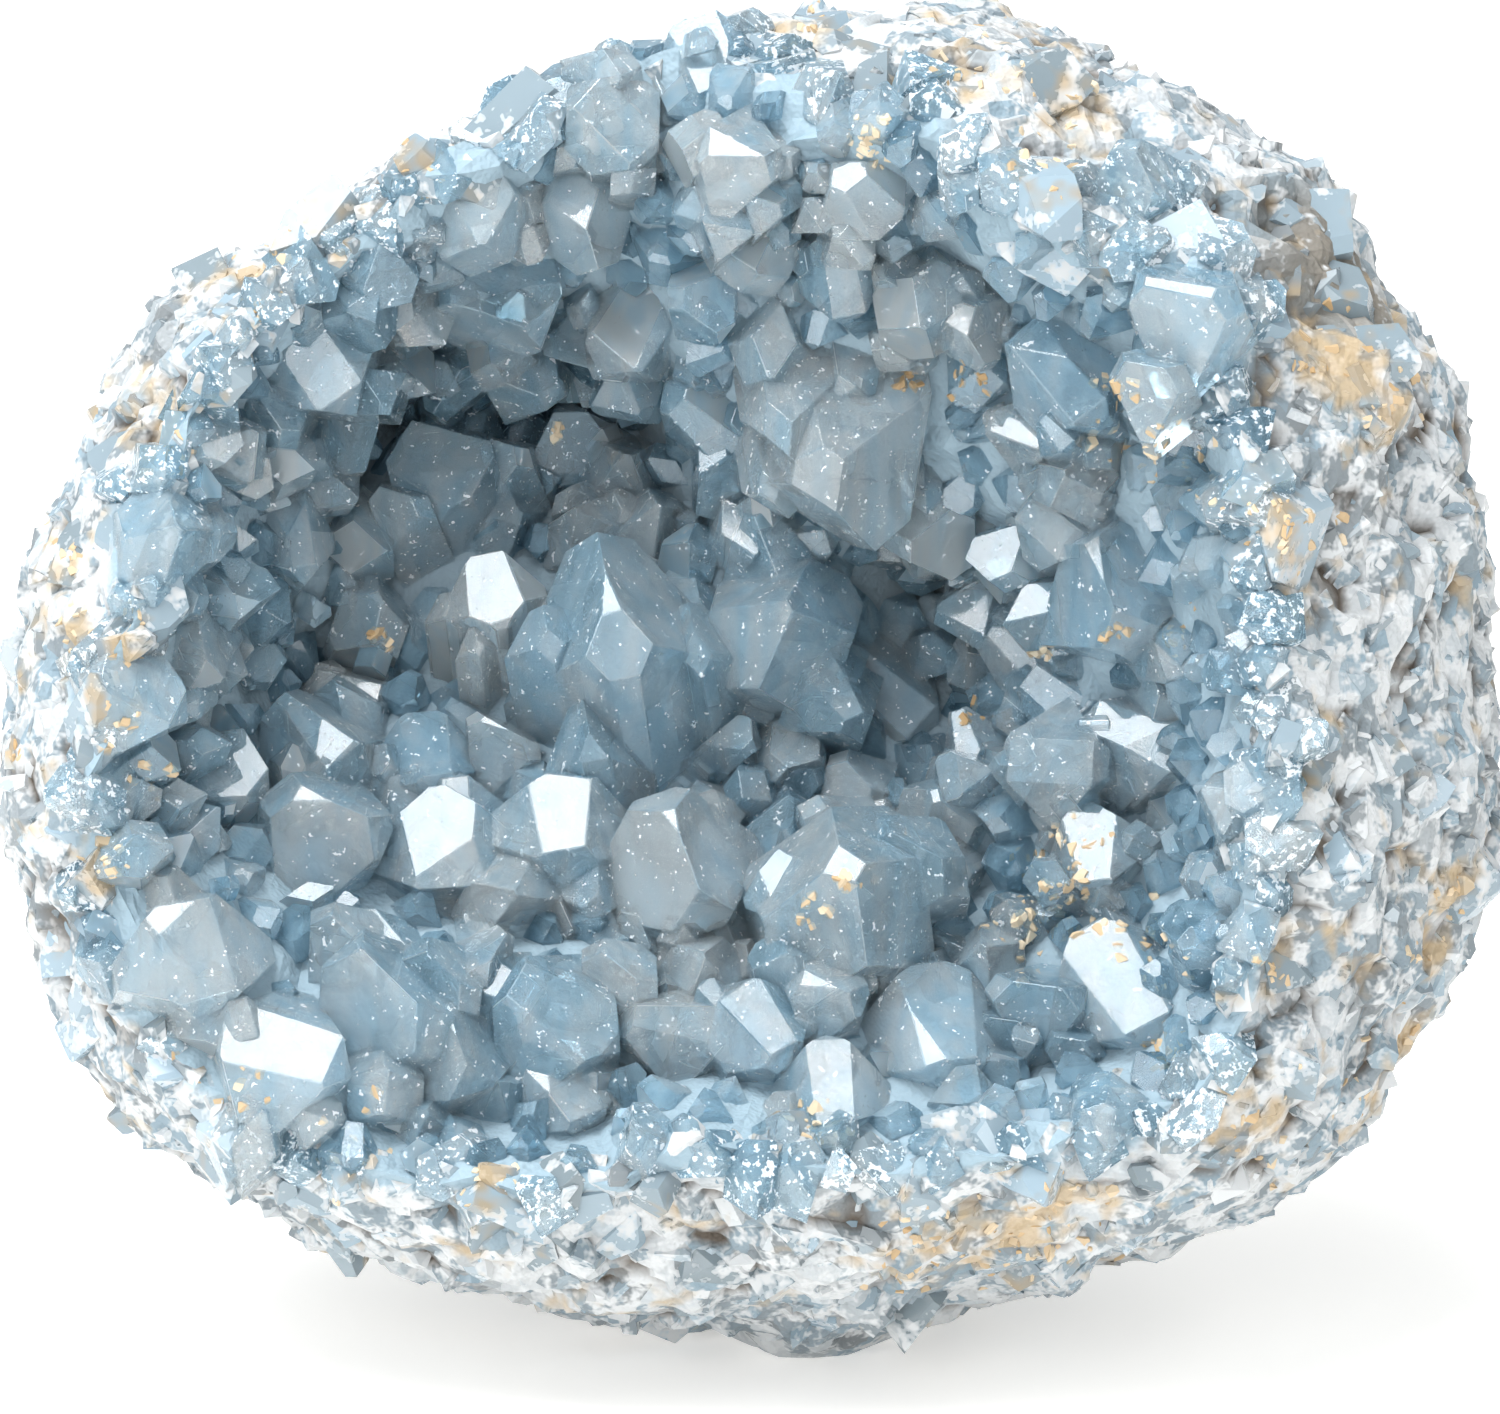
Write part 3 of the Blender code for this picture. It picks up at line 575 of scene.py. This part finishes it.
def druseMesh(faces, tree):
    # small crystals that close the gaps between the large ones
    settings = druseCrystals
    chance = random.Random(settings["seed"])
    upright = Matrix.Identity(3)
    origin = Vector((0, 0, 0))
    templates = []
    for kind in range(settings["shapes"]):
        size = (1, chance.uniform(*settings["thickness"]))
        ending = ("point", "chisel", "flat")[kind % 3]
        stem = settings["stem"]
        templates.append(crystalMesh(size, stem, ending, 0, kind % 2, kind + 70, upright, origin, 0))
    stamps = []
    for place, normal in spotsOn(faces, settings, chance):
        axis = growthAxis(place, normal, chance, settings["spread"])
        width = chance.uniform(*settings["width"])
        rise = chance.uniform(*settings["rise"]) * (1 - 0.3 * rimShare(place))
        tip = place + axis * rise
        turn = axisTurn(axis, chance.uniform(0, math.tau)).to_4x4()
        which = chance.randrange(len(templates))
        # painted shade takes the tone down deeper in the hollow
        tone = chance.uniform(*settings["tone"]) - paintedDepthShade(tip)
        if grownOver(tree, tip, axis, rise - 1) or not withinReach(tip, 1):
            continue
        matrix = Matrix.Translation(tip) @ turn @ Matrix.Scale(width, 4)
        stamps.append((which, matrix, tone, rimShare(tip)))
    return stamped(templates, stamps, "druse")


# Stone

stoneSkin = {
    "cuts": 3,  # how finely the CAD faces are parted
    "grain": 5.5,  # size of the broken flats on the outside, in millimetres
    "relief": 1.2,
    "fine": 0.4,
    "liningGrain": 7,  # the same on the wall between the crystals
    "liningRelief": 0.9,
    "lined": (2.6, 1.6),  # farther than this from the crust is outside, and the change takes this long
    "footing": (0.4, 2.5),  # the relief begins this high above the floor and grows over this height
    "shoulder": Vector((60, -18, 40)),  # the middle of the bare brown stone
    "shoulderReach": 14,
}
stoneGrains = {
    "tries": 20000,
    "gap": 2.8,
    "size": (1.5, 4.4),
    "sunk": 0.30,  # how deep a grain sits, as a share of its size
    "lean": 1.0,  # how far it may lean, in radians
    "shapes": 9,
    "seed": 21,
}
rimShards = {
    "tries": 7000,
    "gap": 4.6,
    "size": (6, 13),
    "sunk": 0.34,
    "lean": 0.5,
    "reach": 48,  # how far from the crust the last ones stand
    "shapes": 10,
    "seed": 31,
}


def grainRelief(point, size):
    # angular grains: each cell of the skin is a small tilted flat
    distances, centres = noise.voronoi(point / size)
    centre = centres[0]
    tilt = noise.noise_vector(centre * 7.3)
    flat = (point / size - centre).dot(tilt) * 2.2 + noise.noise(centre * 3.7) * 0.9
    gap = min((distances[1] - distances[0]) * 4, 1)
    return flat - (1 - gap) * 0.5


def bareShare(place):
    # 1 where the upper right shoulder is bare and brown, 0 elsewhere
    return smoothStep(1.3 - (place - stoneSkin["shoulder"]).length / stoneSkin["shoulderReach"])


def stonePiece(material):
    # the CAD stone with its grainy broken skin
    bm = cadMesh("rock_shell")
    bmesh.ops.subdivide_edges(bm, edges=list(bm.edges), cuts=stoneSkin["cuts"], use_grid_fill=True)
    bm.normal_update()
    pit = bm.verts.layers.float.new("pit")
    inner = bm.verts.layers.float.new("inner")
    depth = bm.verts.layers.float.new("depth")
    bare = bm.verts.layers.float.new("bare")
    edge, change = stoneSkin["lined"]
    footing, growth = stoneSkin["footing"]
    for vertex in bm.verts:
        lined = smoothStep((edge - crustTree.find_nearest(vertex.co)[3]) / change)
        share = smoothStep((heightOf(vertex.co) - footing) / growth)
        relief = stoneSkin["relief"] * grainRelief(vertex.co, stoneSkin["grain"])
        relief += stoneSkin["fine"] * noise.noise(vertex.co / 1.1)
        flats = stoneSkin["liningRelief"] * grainRelief(vertex.co, stoneSkin["liningGrain"])
        relief = relief * (1 - lined) + flats * lined
        vertex[pit] = relief * share * (1 - lined)
        vertex[inner] = lined
        # painted shade: the wall of the hollow darkens towards its bottom
        vertex[depth] = lined * paintedDepthShade(vertex.co)
        vertex[bare] = bareShare(vertex.co)
        vertex.co += vertex.normal * relief * share
    return pieceFrom(bm, "stoneShell", material)


def chipTemplate(seed, cuts):
    # an angular grain cut by a few flats
    chance = random.Random(seed)
    bm = bmesh.new()
    bmesh.ops.create_cube(bm, size=1)
    for _ in range(cuts):
        facing = Vector([chance.gauss(0, 1) for _ in range(3)]).normalized()
        cutFlat(bm, facing * chance.uniform(0.30, 0.50), facing)
    mesh = bpy.data.meshes.new("chip")
    bm.to_mesh(mesh)
    bm.free()
    return mesh


def chipStamp(place, normal, size, which, tone, dust, chance, settings):
    # one grain set into the skin, turned at random and flattened a little, deeper round the girth
    sunk = settings["sunk"] + 0.1 * smoothStep((normal.y + 0.5) * 3) * smoothStep((0.5 - normal.y) * 3)
    spin = Matrix.Rotation(chance.uniform(0, math.tau), 4, "Z")
    spin = spin @ Matrix.Rotation(chance.uniform(0, settings["lean"]), 4, "X")
    stretch = Matrix.Diagonal((1, chance.uniform(0.6, 1), chance.uniform(0.5, 0.85), 1))
    turn = axisTurn(normal, chance.uniform(0, math.tau)).to_4x4()
    seat = Matrix.Translation(place - normal * size * sunk)
    return which, seat @ turn @ spin @ stretch @ Matrix.Scale(size, 4), tone, dust


def chipTemplates(settings, seed, cuts):
    return [chipTemplate(kind + seed, cuts) for kind in range(settings["shapes"])]


def skinFaces(stone):
    # the outer faces of the finished skin, clear of the resting spot
    bm = bmesh.new()
    bm.from_mesh(stone.data)
    bmesh.ops.transform(bm, matrix=toOpening, verts=bm.verts)
    bmesh.ops.triangulate(bm, faces=bm.faces)
    faces = []
    for face in bm.faces:
        centre = face.calc_center_median()
        gap = crustTree.find_nearest(centre)[3]
        if heightOf(centre) > 4 and (gap > 1.5 or rimShare(centre) > 0.5):
            faces.append(face)
    return bm, faces


def stoneGrainMesh(faces):
    # small grains all over the skin
    settings = stoneGrains
    chance = random.Random(settings["seed"])
    stamps = []
    for place, normal in spotsOn(faces, settings, chance):
        size = chance.uniform(*settings["size"])
        which = chance.randrange(settings["shapes"])
        bare = bareShare(place)
        tone = chance.random() * (1 - 0.7 * bare)
        stamp = chipStamp(place, normal, size, which, tone, 0.8 - bare, chance, settings)
        if withinReach(place, size * 0.4):
            stamps.append(stamp)
    return stamped(chipTemplates(settings, 300, 6), stamps, "stoneGrains")


def rimShardMesh(faces):
    # glassy broken crystals set in the front of the rim, thinning out away from the hollow
    settings = rimShards
    chance = random.Random(settings["seed"])
    stamps = []
    for place, normal in spotsOn(faces, settings, chance):
        away = crustTree.find_nearest(place)[3] / settings["reach"]
        edgeOn = smoothStep((normal.y + 0.65) * 2.5)
        size = chance.uniform(*settings["size"]) * (1 - 0.3 * min(away, 1)) * (1 - 0.45 * edgeOn)
        which = chance.randrange(settings["shapes"])
        tone = chance.random()
        dust = 0.4 + 0.5 * away - 0.9 * bareShare(place)
        stamp = chipStamp(place, normal, size, which, tone, dust, chance, settings)
        if chance.random() > away and normal.y < 0.1 and withinReach(place, size * 0.4):
            stamps.append(stamp)
    return stamped(chipTemplates(settings, 500, 8), stamps, "rimShards")


# Ochre crumbs

ochreEarth = {
    "size": (0.5, 1.6),  # of one crumb, in millimetres
    "sunk": 0.2,
    "lean": 1.0,
    "shades": 0.35,  # how much the crumbs of one spot differ
    "coat": 1.5,  # how far the thin coat reaches past the crumbs
    "shapes": 6,
    "seed": 41,
}

# places seen from the front: across, up, spread, how many, how pale
ochreSpots = [
    (12.7, 56.6, 1.5, 26, 0.9), (-20.6, 26.5, 0.7, 5, 0.7), (-53.4, 43.4, 2.2, 14, 0.4),
    (-53.9, 38.3, 1, 5, 0.3), (-34.6, 52.5, 1, 5, 0.3), (-37.8, 54.5, 0.8, 4, 0.3),
    (-66.3, 2.9, 1.6, 9, 0.6), (-72.7, 4.5, 1.4, 8, 0.7), (-73.2, 12.6, 1.2, 7, 0.4),
    (-67.9, -5.2, 1.4, 7, 0.5), (-65.2, -11.6, 1.2, 7, 0.5), (-79, -9, 0.8, 5, 0.2),
    (-39.4, 3.1, 0.8, 5, 0.3), (32.5, -22.5, 3, 46, 0.6), (30, -27, 2.2, 24, 0.8),
    (43, -29, 2.6, 22, 0.6), (23.6, -4.8, 0.8, 6, 0.1), (38.4, 3.4, 0.9, 6, 0.2),
    (30.9, 1.8, 0.8, 5, 0.6), (46.3, 4.3, 1.3, 8, 0.5), (16.4, 31, 0.8, 8, 0.1),
    (22.3, 32.2, 0.7, 6, 0.1), (25, 30.8, 0.7, 5, 0.1), (10, -22.9, 0.7, 7, 0.4),
    (6.8, -26.1, 1, 9, 0.5), (6.8, -48.7, 1.3, 16, 0.7), (44.9, -40.1, 1.4, 22, 0.5),
    (56.2, -32, 1, 9, 0.5), (69.6, 28.7, 1.6, 12, 0.4), (39, 30.3, 1.6, 10, 0.5), (41, 24, 2, 14, 0.6),
    (46, 22, 2.2, 16, 0.6), (53.5, 18.5, 2.2, 16, 0.5), (59, 16, 2.2, 14, 0.5),
    (5.2, 67.9, 2.6, 16, 0.6), (24.5, 64.7, 2.6, 18, 0.6), (33.1, 59.3, 2.4, 14, 0.6),
    (30, 53, 2, 8, 0.4), (75, -23.4, 1.4, 10, 0.4), (72.8, -30.9, 1.6, 10, 0.4),
    (69.6, -39.5, 1.8, 12, 0.3), (66.4, -47, 2, 12, 0.4), (53.5, -49.2, 2.4, 14, 0.5),
    (18, -62, 3.2, 26, 0.4), (27, -61, 3.2, 26, 0.4), (34, -59, 3, 20, 0.4), (-27, -55.5, 2.4, 10, 0.7),
    (-44, -51, 2.4, 10, 0.6), (-56, -44, 2.4, 9, 0.5), (-63, 25, 2.2, 9, 0.6), (-70, -20, 2, 8, 0.6),
    (62, 34, 3, 14, 0.3),
]


def pieceTree(piece):
    mesh = piece.data
    faces = [tuple(face.vertices) for face in mesh.polygons]
    return BVHTree.FromPolygons([vertex.co for vertex in mesh.vertices], faces)


def firstHit(trees, start, direction):
    hits = [tree.ray_cast(start, direction) for tree in trees]
    hits = [hit for hit in hits if hit[0] is not None]
    return min(hits, key=lambda hit: hit[3]) if hits else None


def seenAt(trees, across, up):
    # what the line of sight through a spot of the photograph meets, in the world's metres
    eye = toWorld @ opening["eye"]
    aim = toWorld @ Vector((across, 0, up))
    return firstHit(trees, eye, (aim - eye).normalized())


def ochreMesh(trees):
    # crumbs of ochre earth on whatever the line of sight meets first
    settings = ochreEarth
    chance = random.Random(settings["seed"])
    turn = toOpening.to_3x3()
    shades = settings["shades"]
    stamps = []
    for across, up, spread, count, pale in ochreSpots:
        for _ in range(count):
            hit = seenAt(trees, across + chance.gauss(0, spread), up + chance.gauss(0, spread))
            size = chance.uniform(*settings["size"])
            which = chance.randrange(settings["shapes"])
            tone = min(max(pale + chance.uniform(-shades, shades), 0), 1)
            if hit:
                place = toOpening @ hit[0]
                normal = (turn @ hit[1]).normalized()
                stamps.append(chipStamp(place, normal, size, which, tone, 0, chance, settings))
    return stamped(chipTemplates(settings, 900, 6), stamps, "ochreCrumbs")


def stainedSpots(trees):
    # the middle of each ochre spot, and how far its thin coat reaches in millimetres
    coat = ochreEarth["coat"]
    hits = [(seenAt(trees, row[0], row[1]), row[2]) for row in ochreSpots]
    return [(hit[0], coat * spread + coat) for hit, spread in hits if hit]


def stain(piece, spots):
    # the same earth as a thin coat round the crumbs
    millimetres = 1000
    points = meshPoints(piece.data) * millimetres
    share = np.zeros(len(points))
    for place, reach in spots:
        apart = np.linalg.norm(points - np.array(place) * millimetres, axis=1)
        share = np.maximum(share, np.clip(ochreEarth["coat"] - apart / reach, 0, 1))
    paint(piece.data, "ochre", share)


# Materials

def newMaterial(name):
    material = bpy.data.materials.new(name)
    material.use_nodes = True
    tree = material.node_tree
    shader = tree.nodes["Principled BSDF"]
    shader.distribution = "GGX"
    return material, tree, shader


def painted(tree, name):
    node = tree.nodes.new("ShaderNodeAttribute")
    node.attribute_name = name
    return node.outputs["Fac"]


def objectNoise(tree, scale, detail=3, roughness=0.5, offset=(0, 0, 0), stretch=(1, 1, 1)):
    place = tree.nodes.new("ShaderNodeTexCoord")
    move = tree.nodes.new("ShaderNodeMapping")
    move.inputs["Location"].default_value = offset
    move.inputs["Scale"].default_value = stretch
    tree.links.new(place.outputs["Object"], move.inputs["Vector"])
    texture = tree.nodes.new("ShaderNodeTexNoise")
    texture.inputs["Scale"].default_value = scale
    texture.inputs["Detail"].default_value = detail
    texture.inputs["Roughness"].default_value = roughness
    tree.links.new(move.outputs["Vector"], texture.inputs["Vector"])
    return texture.outputs["Fac"]


def ranged(tree, value, low, high, toLow=0.0, toHigh=1.0):
    node = tree.nodes.new("ShaderNodeMapRange")
    node.inputs["From Min"].default_value = low
    node.inputs["From Max"].default_value = high
    node.inputs["To Min"].default_value = toLow
    node.inputs["To Max"].default_value = toHigh
    tree.links.new(value, node.inputs["Value"])
    return node.outputs["Result"]


def maths(tree, operation, a, b):
    node = tree.nodes.new("ShaderNodeMath")
    node.operation = operation
    for socket, value in zip(node.inputs, (a, b)):
        if isinstance(value, (int, float)):
            socket.default_value = value
        else:
            tree.links.new(value, socket)
    return node.outputs["Value"]


def mixColour(tree, share, a, b):
    node = tree.nodes.new("ShaderNodeMix")
    node.data_type = "RGBA"
    for socket, value in ((node.inputs[0], share), (node.inputs[6], a), (node.inputs[7], b)):
        if isinstance(value, (tuple, list)):
            socket.default_value = (*value, 1)
        elif isinstance(value, (int, float)):
            socket.default_value = value
        else:
            tree.links.new(value, socket)
    return node.outputs[2]


def roughen(tree, shader, height, strength, distance):
    bump = tree.nodes.new("ShaderNodeBump")
    bump.inputs["Strength"].default_value = strength
    bump.inputs["Distance"].default_value = distance
    tree.links.new(height, bump.inputs["Height"])
    tree.links.new(bump.outputs["Normal"], shader.inputs["Normal"])


patterns = {  # how many repeats of each pattern go in a metre
    "powder": 260,
    "dust": 1000,
    "ochre": 150,
    "streaks": 420,
    "stoneCells": 230,
    "stonePores": 1100,
}
celestite = {
    # the darkest crystal colour, reached by random tone and by painted shade deep in the hollow
    "darkToneAndShade": (0.14, 0.29, 0.40),
    "deep": (0.50, 0.77, 0.94),
    "pale": (0.86, 0.96, 1.0),
    "dust": (0.78, 0.81, 0.84),
    "clear": 0.76,
    "ior": 1.62,
}
shardColours = {"smoky": (0.26, 0.32, 0.35), "blue": (0.42, 0.56, 0.66), "clear": 0.3, "ior": 1.55}
stoneColours = {
    "powder": (0.58, 0.60, 0.61),
    "bare": (0.20, 0.17, 0.13),
    "grey": (0.20, 0.22, 0.23),
    "blueGrey": (0.24, 0.33, 0.39),
    "ochre": (0.48, 0.36, 0.21),
    "pit": (0.12, 0.10, 0.08),
    "inner": (0.30, 0.41, 0.48),
    # painted shade: the near black laid on the wall deep in the hollow
    "deep": (0.05, 0.045, 0.035),
}
ochreColours = {"cream": (0.74, 0.64, 0.48), "tan": (0.48, 0.32, 0.16)}


def powderMask(tree, dust):
    # white powder: one pattern that runs on from piece to piece, thicker where dust is higher
    drift = objectNoise(tree, patterns["powder"], 3, 0.75)
    return ranged(tree, maths(tree, "ADD", drift, maths(tree, "MULTIPLY", dust, 0.13)), 0.58, 0.67)


def dustMask(tree, dust):
    # specks of dust, which close up into powder where dust is high
    drift = objectNoise(tree, patterns["dust"], 2, 0.75)
    return ranged(tree, maths(tree, "ADD", drift, maths(tree, "MULTIPLY", dust, 0.2)), 0.67, 0.76)


def ochreMask(tree):
    # patches of earth, nearly only where the coat is painted
    coat = maths(tree, "MULTIPLY", painted(tree, "ochre"), 0.18)
    patches = objectNoise(tree, patterns["ochre"], 2, 0.8, (9, 4, 6))
    return ranged(tree, maths(tree, "ADD", patches, coat), 0.58, 0.74, 0, 0.8)


def celestiteMaterial():
    # clear pale blue, darker in the depths by painted shade, each flat a little different, dust in
    # specks
    material, tree, shader = newMaterial("celestite")
    facet = painted(tree, "facet")
    tone = maths(tree, "ADD", painted(tree, "tone"), ranged(tree, facet, 0, 1, -0.3, 0.3))
    streaks = objectNoise(tree, patterns["streaks"], 1, 0.6, (3, 8, 2), (1, 1, 0.18))
    tone = maths(tree, "ADD", tone, ranged(tree, streaks, 0.3, 0.7, -0.35, 0.35))
    colour = mixColour(tree, ranged(tree, tone, 0, 1), celestite["deep"], celestite["pale"])
    # below zero the tone runs to the darkest colour, partly random tone and partly painted shade
    colour = mixColour(tree, ranged(tree, tone, 0, -1), colour, celestite["darkToneAndShade"])
    powder = dustMask(tree, painted(tree, "dust"))
    tree.links.new(mixColour(tree, powder, colour, celestite["dust"]), shader.inputs["Base Color"])
    clear = ranged(tree, powder, 0, 1, celestite["clear"], 0.1)
    tree.links.new(clear, shader.inputs["Transmission Weight"])
    gloss = ranged(tree, facet, 0.5, 1, 0.04, 0.3)
    roughness = maths(tree, "MAXIMUM", gloss, ranged(tree, powder, 0, 1, 0, 0.7))
    tree.links.new(roughness, shader.inputs["Roughness"])
    shader.inputs["IOR"].default_value = celestite["ior"]
    return material


def shardMaterial():
    material, tree, shader = newMaterial("brokenCelestite")
    colour = mixColour(tree, painted(tree, "tone"), shardColours["smoky"], shardColours["blue"])
    powder = powderMask(tree, painted(tree, "dust"))
    colour = mixColour(tree, powder, colour, stoneColours["powder"])
    colour = mixColour(tree, ochreMask(tree), colour, stoneColours["ochre"])
    tree.links.new(colour, shader.inputs["Base Color"])
    clear = ranged(tree, powder, 0, 1, shardColours["clear"], 0)
    tree.links.new(clear, shader.inputs["Transmission Weight"])
    tree.links.new(ranged(tree, powder, 0, 1, 0.15, 0.8), shader.inputs["Roughness"])
    shader.inputs["IOR"].default_value = shardColours["ior"]
    return material


def stoneMaterial():
    material, tree, shader = newMaterial("weatheredStone")
    cells = tree.nodes.new("ShaderNodeTexVoronoi")
    place = tree.nodes.new("ShaderNodeTexCoord")
    cells.inputs["Scale"].default_value = patterns["stoneCells"]
    tree.links.new(place.outputs["Object"], cells.inputs["Vector"])
    parts = tree.nodes.new("ShaderNodeSeparateColor")
    tree.links.new(cells.outputs["Color"], parts.inputs["Color"])
    colour = mixColour(tree, parts.outputs["Red"], stoneColours["grey"], stoneColours["blueGrey"])
    pale = ranged(tree, parts.outputs["Green"], 0.6, 0.8, 0, 0.7)
    colour = mixColour(tree, pale, colour, stoneColours["powder"])
    bare = painted(tree, "bare")
    colour = mixColour(tree, maths(tree, "MULTIPLY", bare, 0.8), colour, stoneColours["bare"])
    powder = powderMask(tree, ranged(tree, bare, 0, 1, 0.85, -0.2))
    colour = mixColour(tree, powder, colour, stoneColours["powder"])
    colour = mixColour(tree, ranged(tree, painted(tree, "pit"), -0.5, -1.4), colour, stoneColours["pit"])
    colour = mixColour(tree, ochreMask(tree), colour, stoneColours["ochre"])
    colour = mixColour(tree, painted(tree, "inner"), colour, stoneColours["inner"])
    # painted shade: the wall turns near black deep in the hollow
    colour = mixColour(tree, painted(tree, "depth"), colour, stoneColours["deep"])
    tree.links.new(colour, shader.inputs["Base Color"])
    shader.inputs["Roughness"].default_value = 0.8
    pores = objectNoise(tree, patterns["stonePores"], 1, 0.7)
    roughen(tree, shader, pores, 0.6, 0.0006)
    return material


def grainMaterial():
    material, tree, shader = newMaterial("stoneGrain")
    tone = painted(tree, "tone")
    blue = ranged(tree, tone, 0, 0.6)
    colour = mixColour(tree, blue, stoneColours["grey"], stoneColours["blueGrey"])
    colour = mixColour(tree, ranged(tree, tone, 0.55, 0.9), colour, stoneColours["powder"])
    powder = powderMask(tree, painted(tree, "dust"))
    colour = mixColour(tree, powder, colour, stoneColours["powder"])
    colour = mixColour(tree, ochreMask(tree), colour, stoneColours["ochre"])
    tree.links.new(colour, shader.inputs["Base Color"])
    tree.links.new(ranged(tree, powder, 0, 1, 0.25, 0.85), shader.inputs["Roughness"])
    return material


def ochreMaterial():
    material, tree, shader = newMaterial("ochreCrumb")
    colour = mixColour(tree, painted(tree, "tone"), ochreColours["tan"], ochreColours["cream"])
    tree.links.new(colour, shader.inputs["Base Color"])
    shader.inputs["Roughness"].default_value = 0.9
    return material


# Studio

studio = {
    "floorSize": 6,
    "floorColour": (0.91, 0.895, 0.87),
    "glowColour": (1, 0.99, 0.97),
    "floorGlow": 0.42,  # a lit white table
    "skyColour": (0.90, 0.95, 1),
    "sky": 0.48,
    "windowAway": 0.9,  # the window light stands where the bright flats reflect it, in metres away
    "frameWidth": 0.16107,  # what the photograph's width takes in at the girth, in metres
    "sensor": 36,
}


def makeFloor():
    bm = bmesh.new()
    bmesh.ops.create_grid(bm, x_segments=1, y_segments=1, size=studio["floorSize"])
    mesh = bpy.data.meshes.new("floor")
    bm.to_mesh(mesh)
    bm.free()
    material, tree, shader = newMaterial("paleFloor")
    shader.inputs["Base Color"].default_value = (*studio["floorColour"], 1)
    shader.inputs["Roughness"].default_value = 0.9
    shader.inputs["Specular IOR Level"].default_value = 0
    shader.inputs["Emission Color"].default_value = (*studio["glowColour"], 1)
    shader.inputs["Emission Strength"].default_value = studio["floorGlow"]
    mesh.materials.append(material)
    floor = bpy.data.objects.new("floor", mesh)
    scene.collection.objects.link(floor)


def softbox(name, place, aim, size, power, colour=(1, 1, 1)):
    light = bpy.data.lights.new(name, "AREA")
    light.shape = "RECTANGLE"
    light.size, light.size_y = size
    light.energy = power
    light.color = colour
    lamp = bpy.data.objects.new(name, light)
    lamp.location = place
    lamp.rotation_euler = (Vector(aim) - Vector(place)).to_track_quat("-Z", "Y").to_euler()
    scene.collection.objects.link(lamp)


def makeCamera():
    data = bpy.data.cameras.new("camera")
    camera = bpy.data.objects.new("camera", data)
    scene.collection.objects.link(camera)
    away = (toWorld.to_3x3() @ Vector((0, 1, 0))).normalized()
    camera.location = toWorld @ opening["eye"]
    camera.rotation_euler = away.to_track_quat("-Z", "Y").to_euler()
    data.sensor_width = studio["sensor"]
    data.lens = studio["sensor"] * -opening["eye"].y * 0.001 / studio["frameWidth"]
    data.clip_start = 0.05
    scene.camera = camera


def makeLight():
    world = bpy.data.worlds.new("studio")
    scene.world = world
    world.use_nodes = True
    sky = world.node_tree.nodes["Background"]
    sky.inputs["Color"].default_value = (*studio["skyColour"], 1)
    sky.inputs["Strength"].default_value = studio["sky"]
    middle = toWorld @ Vector((0, 0, 0))
    facing = crystalShape["brightSide"]
    view = Vector((0, -1, 0))
    bounce = (toWorld.to_3x3() @ (2 * facing.dot(view) * facing - view)).normalized()
    softbox("window", middle + bounce * studio["windowAway"], middle, (0.6, 0.6), 8)
    softbox("overhead", middle + Vector((-0.3, -0.1, 1.2)), middle, (0.8, 0.8), 6)
    softbox("front", middle + Vector((-0.25, -1.1, 0.35)), middle, (0.6, 0.6), 4.5)
    softbox("leftStrip", middle + Vector((-0.9, -0.45, 0.5)), middle, (0.25, 0.9), 3)
    softbox("rightStrip", middle + Vector((0.9, -0.4, 0.7)), middle, (0.25, 0.8), 2.5, (1, 0.97, 0.93))


# The pieces

celestiteLook = celestiteMaterial()
shardLook = shardMaterial()
stoneLook = stoneMaterial()
grainLook = grainMaterial()
ochreLook = ochreMaterial()
print("materials ready")

stone = stonePiece(stoneLook)
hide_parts("rock_shell")
print("stone", len(stone.data.polygons))

skin, outerSkin = skinFaces(stone)
grains = pieceFromMesh(stoneGrainMesh(outerSkin), "stoneGrains", grainLook)
shards = pieceFromMesh(rimShardMesh(outerSkin), "rimShards", shardLook)
skin.free()
print("grains", len(grains.data.polygons), "shards", len(shards.data.polygons))

bigShapes, besideShapes = bigCrystalMeshes()
bigMesh = joinMeshes(bigShapes)
bigTree = BVHTree.FromBMesh(bigMesh)
big = pieceFrom(bigMesh, "bigCrystals", celestiteLook)
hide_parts("crystal_crust")
beside = pieceFrom(joinMeshes(besideShapes), "sideCrystals", celestiteLook)
middle = pieceFrom(joinMeshes(middleCrystalMeshes(lining, bigTree)), "middleCrystals", celestiteLook)
druse = pieceFromMesh(druseMesh(lining, bigTree), "druse", celestiteLook)
print("crystals", len(big.data.polygons), len(middle.data.polygons), len(druse.data.polygons))

trees = [pieceTree(piece) for piece in (stone, shards, big, beside, middle)]
crumbs = pieceFromMesh(ochreMesh(trees), "ochreCrumbs", ochreLook)
spots = stainedSpots(trees)
for piece in (stone, grains, shards):
    stain(piece, spots)
print("crumbs", len(crumbs.data.polygons))

makeFloor()
makeLight()
makeCamera()
scene.view_settings.view_transform = "Standard"
scene.cycles.max_bounces = 5
scene.cycles.transmission_bounces = 5
scene.cycles.diffuse_bounces = 2
scene.cycles.glossy_bounces = 3
scene.cycles.adaptive_threshold = 0.2
print("studio ready")
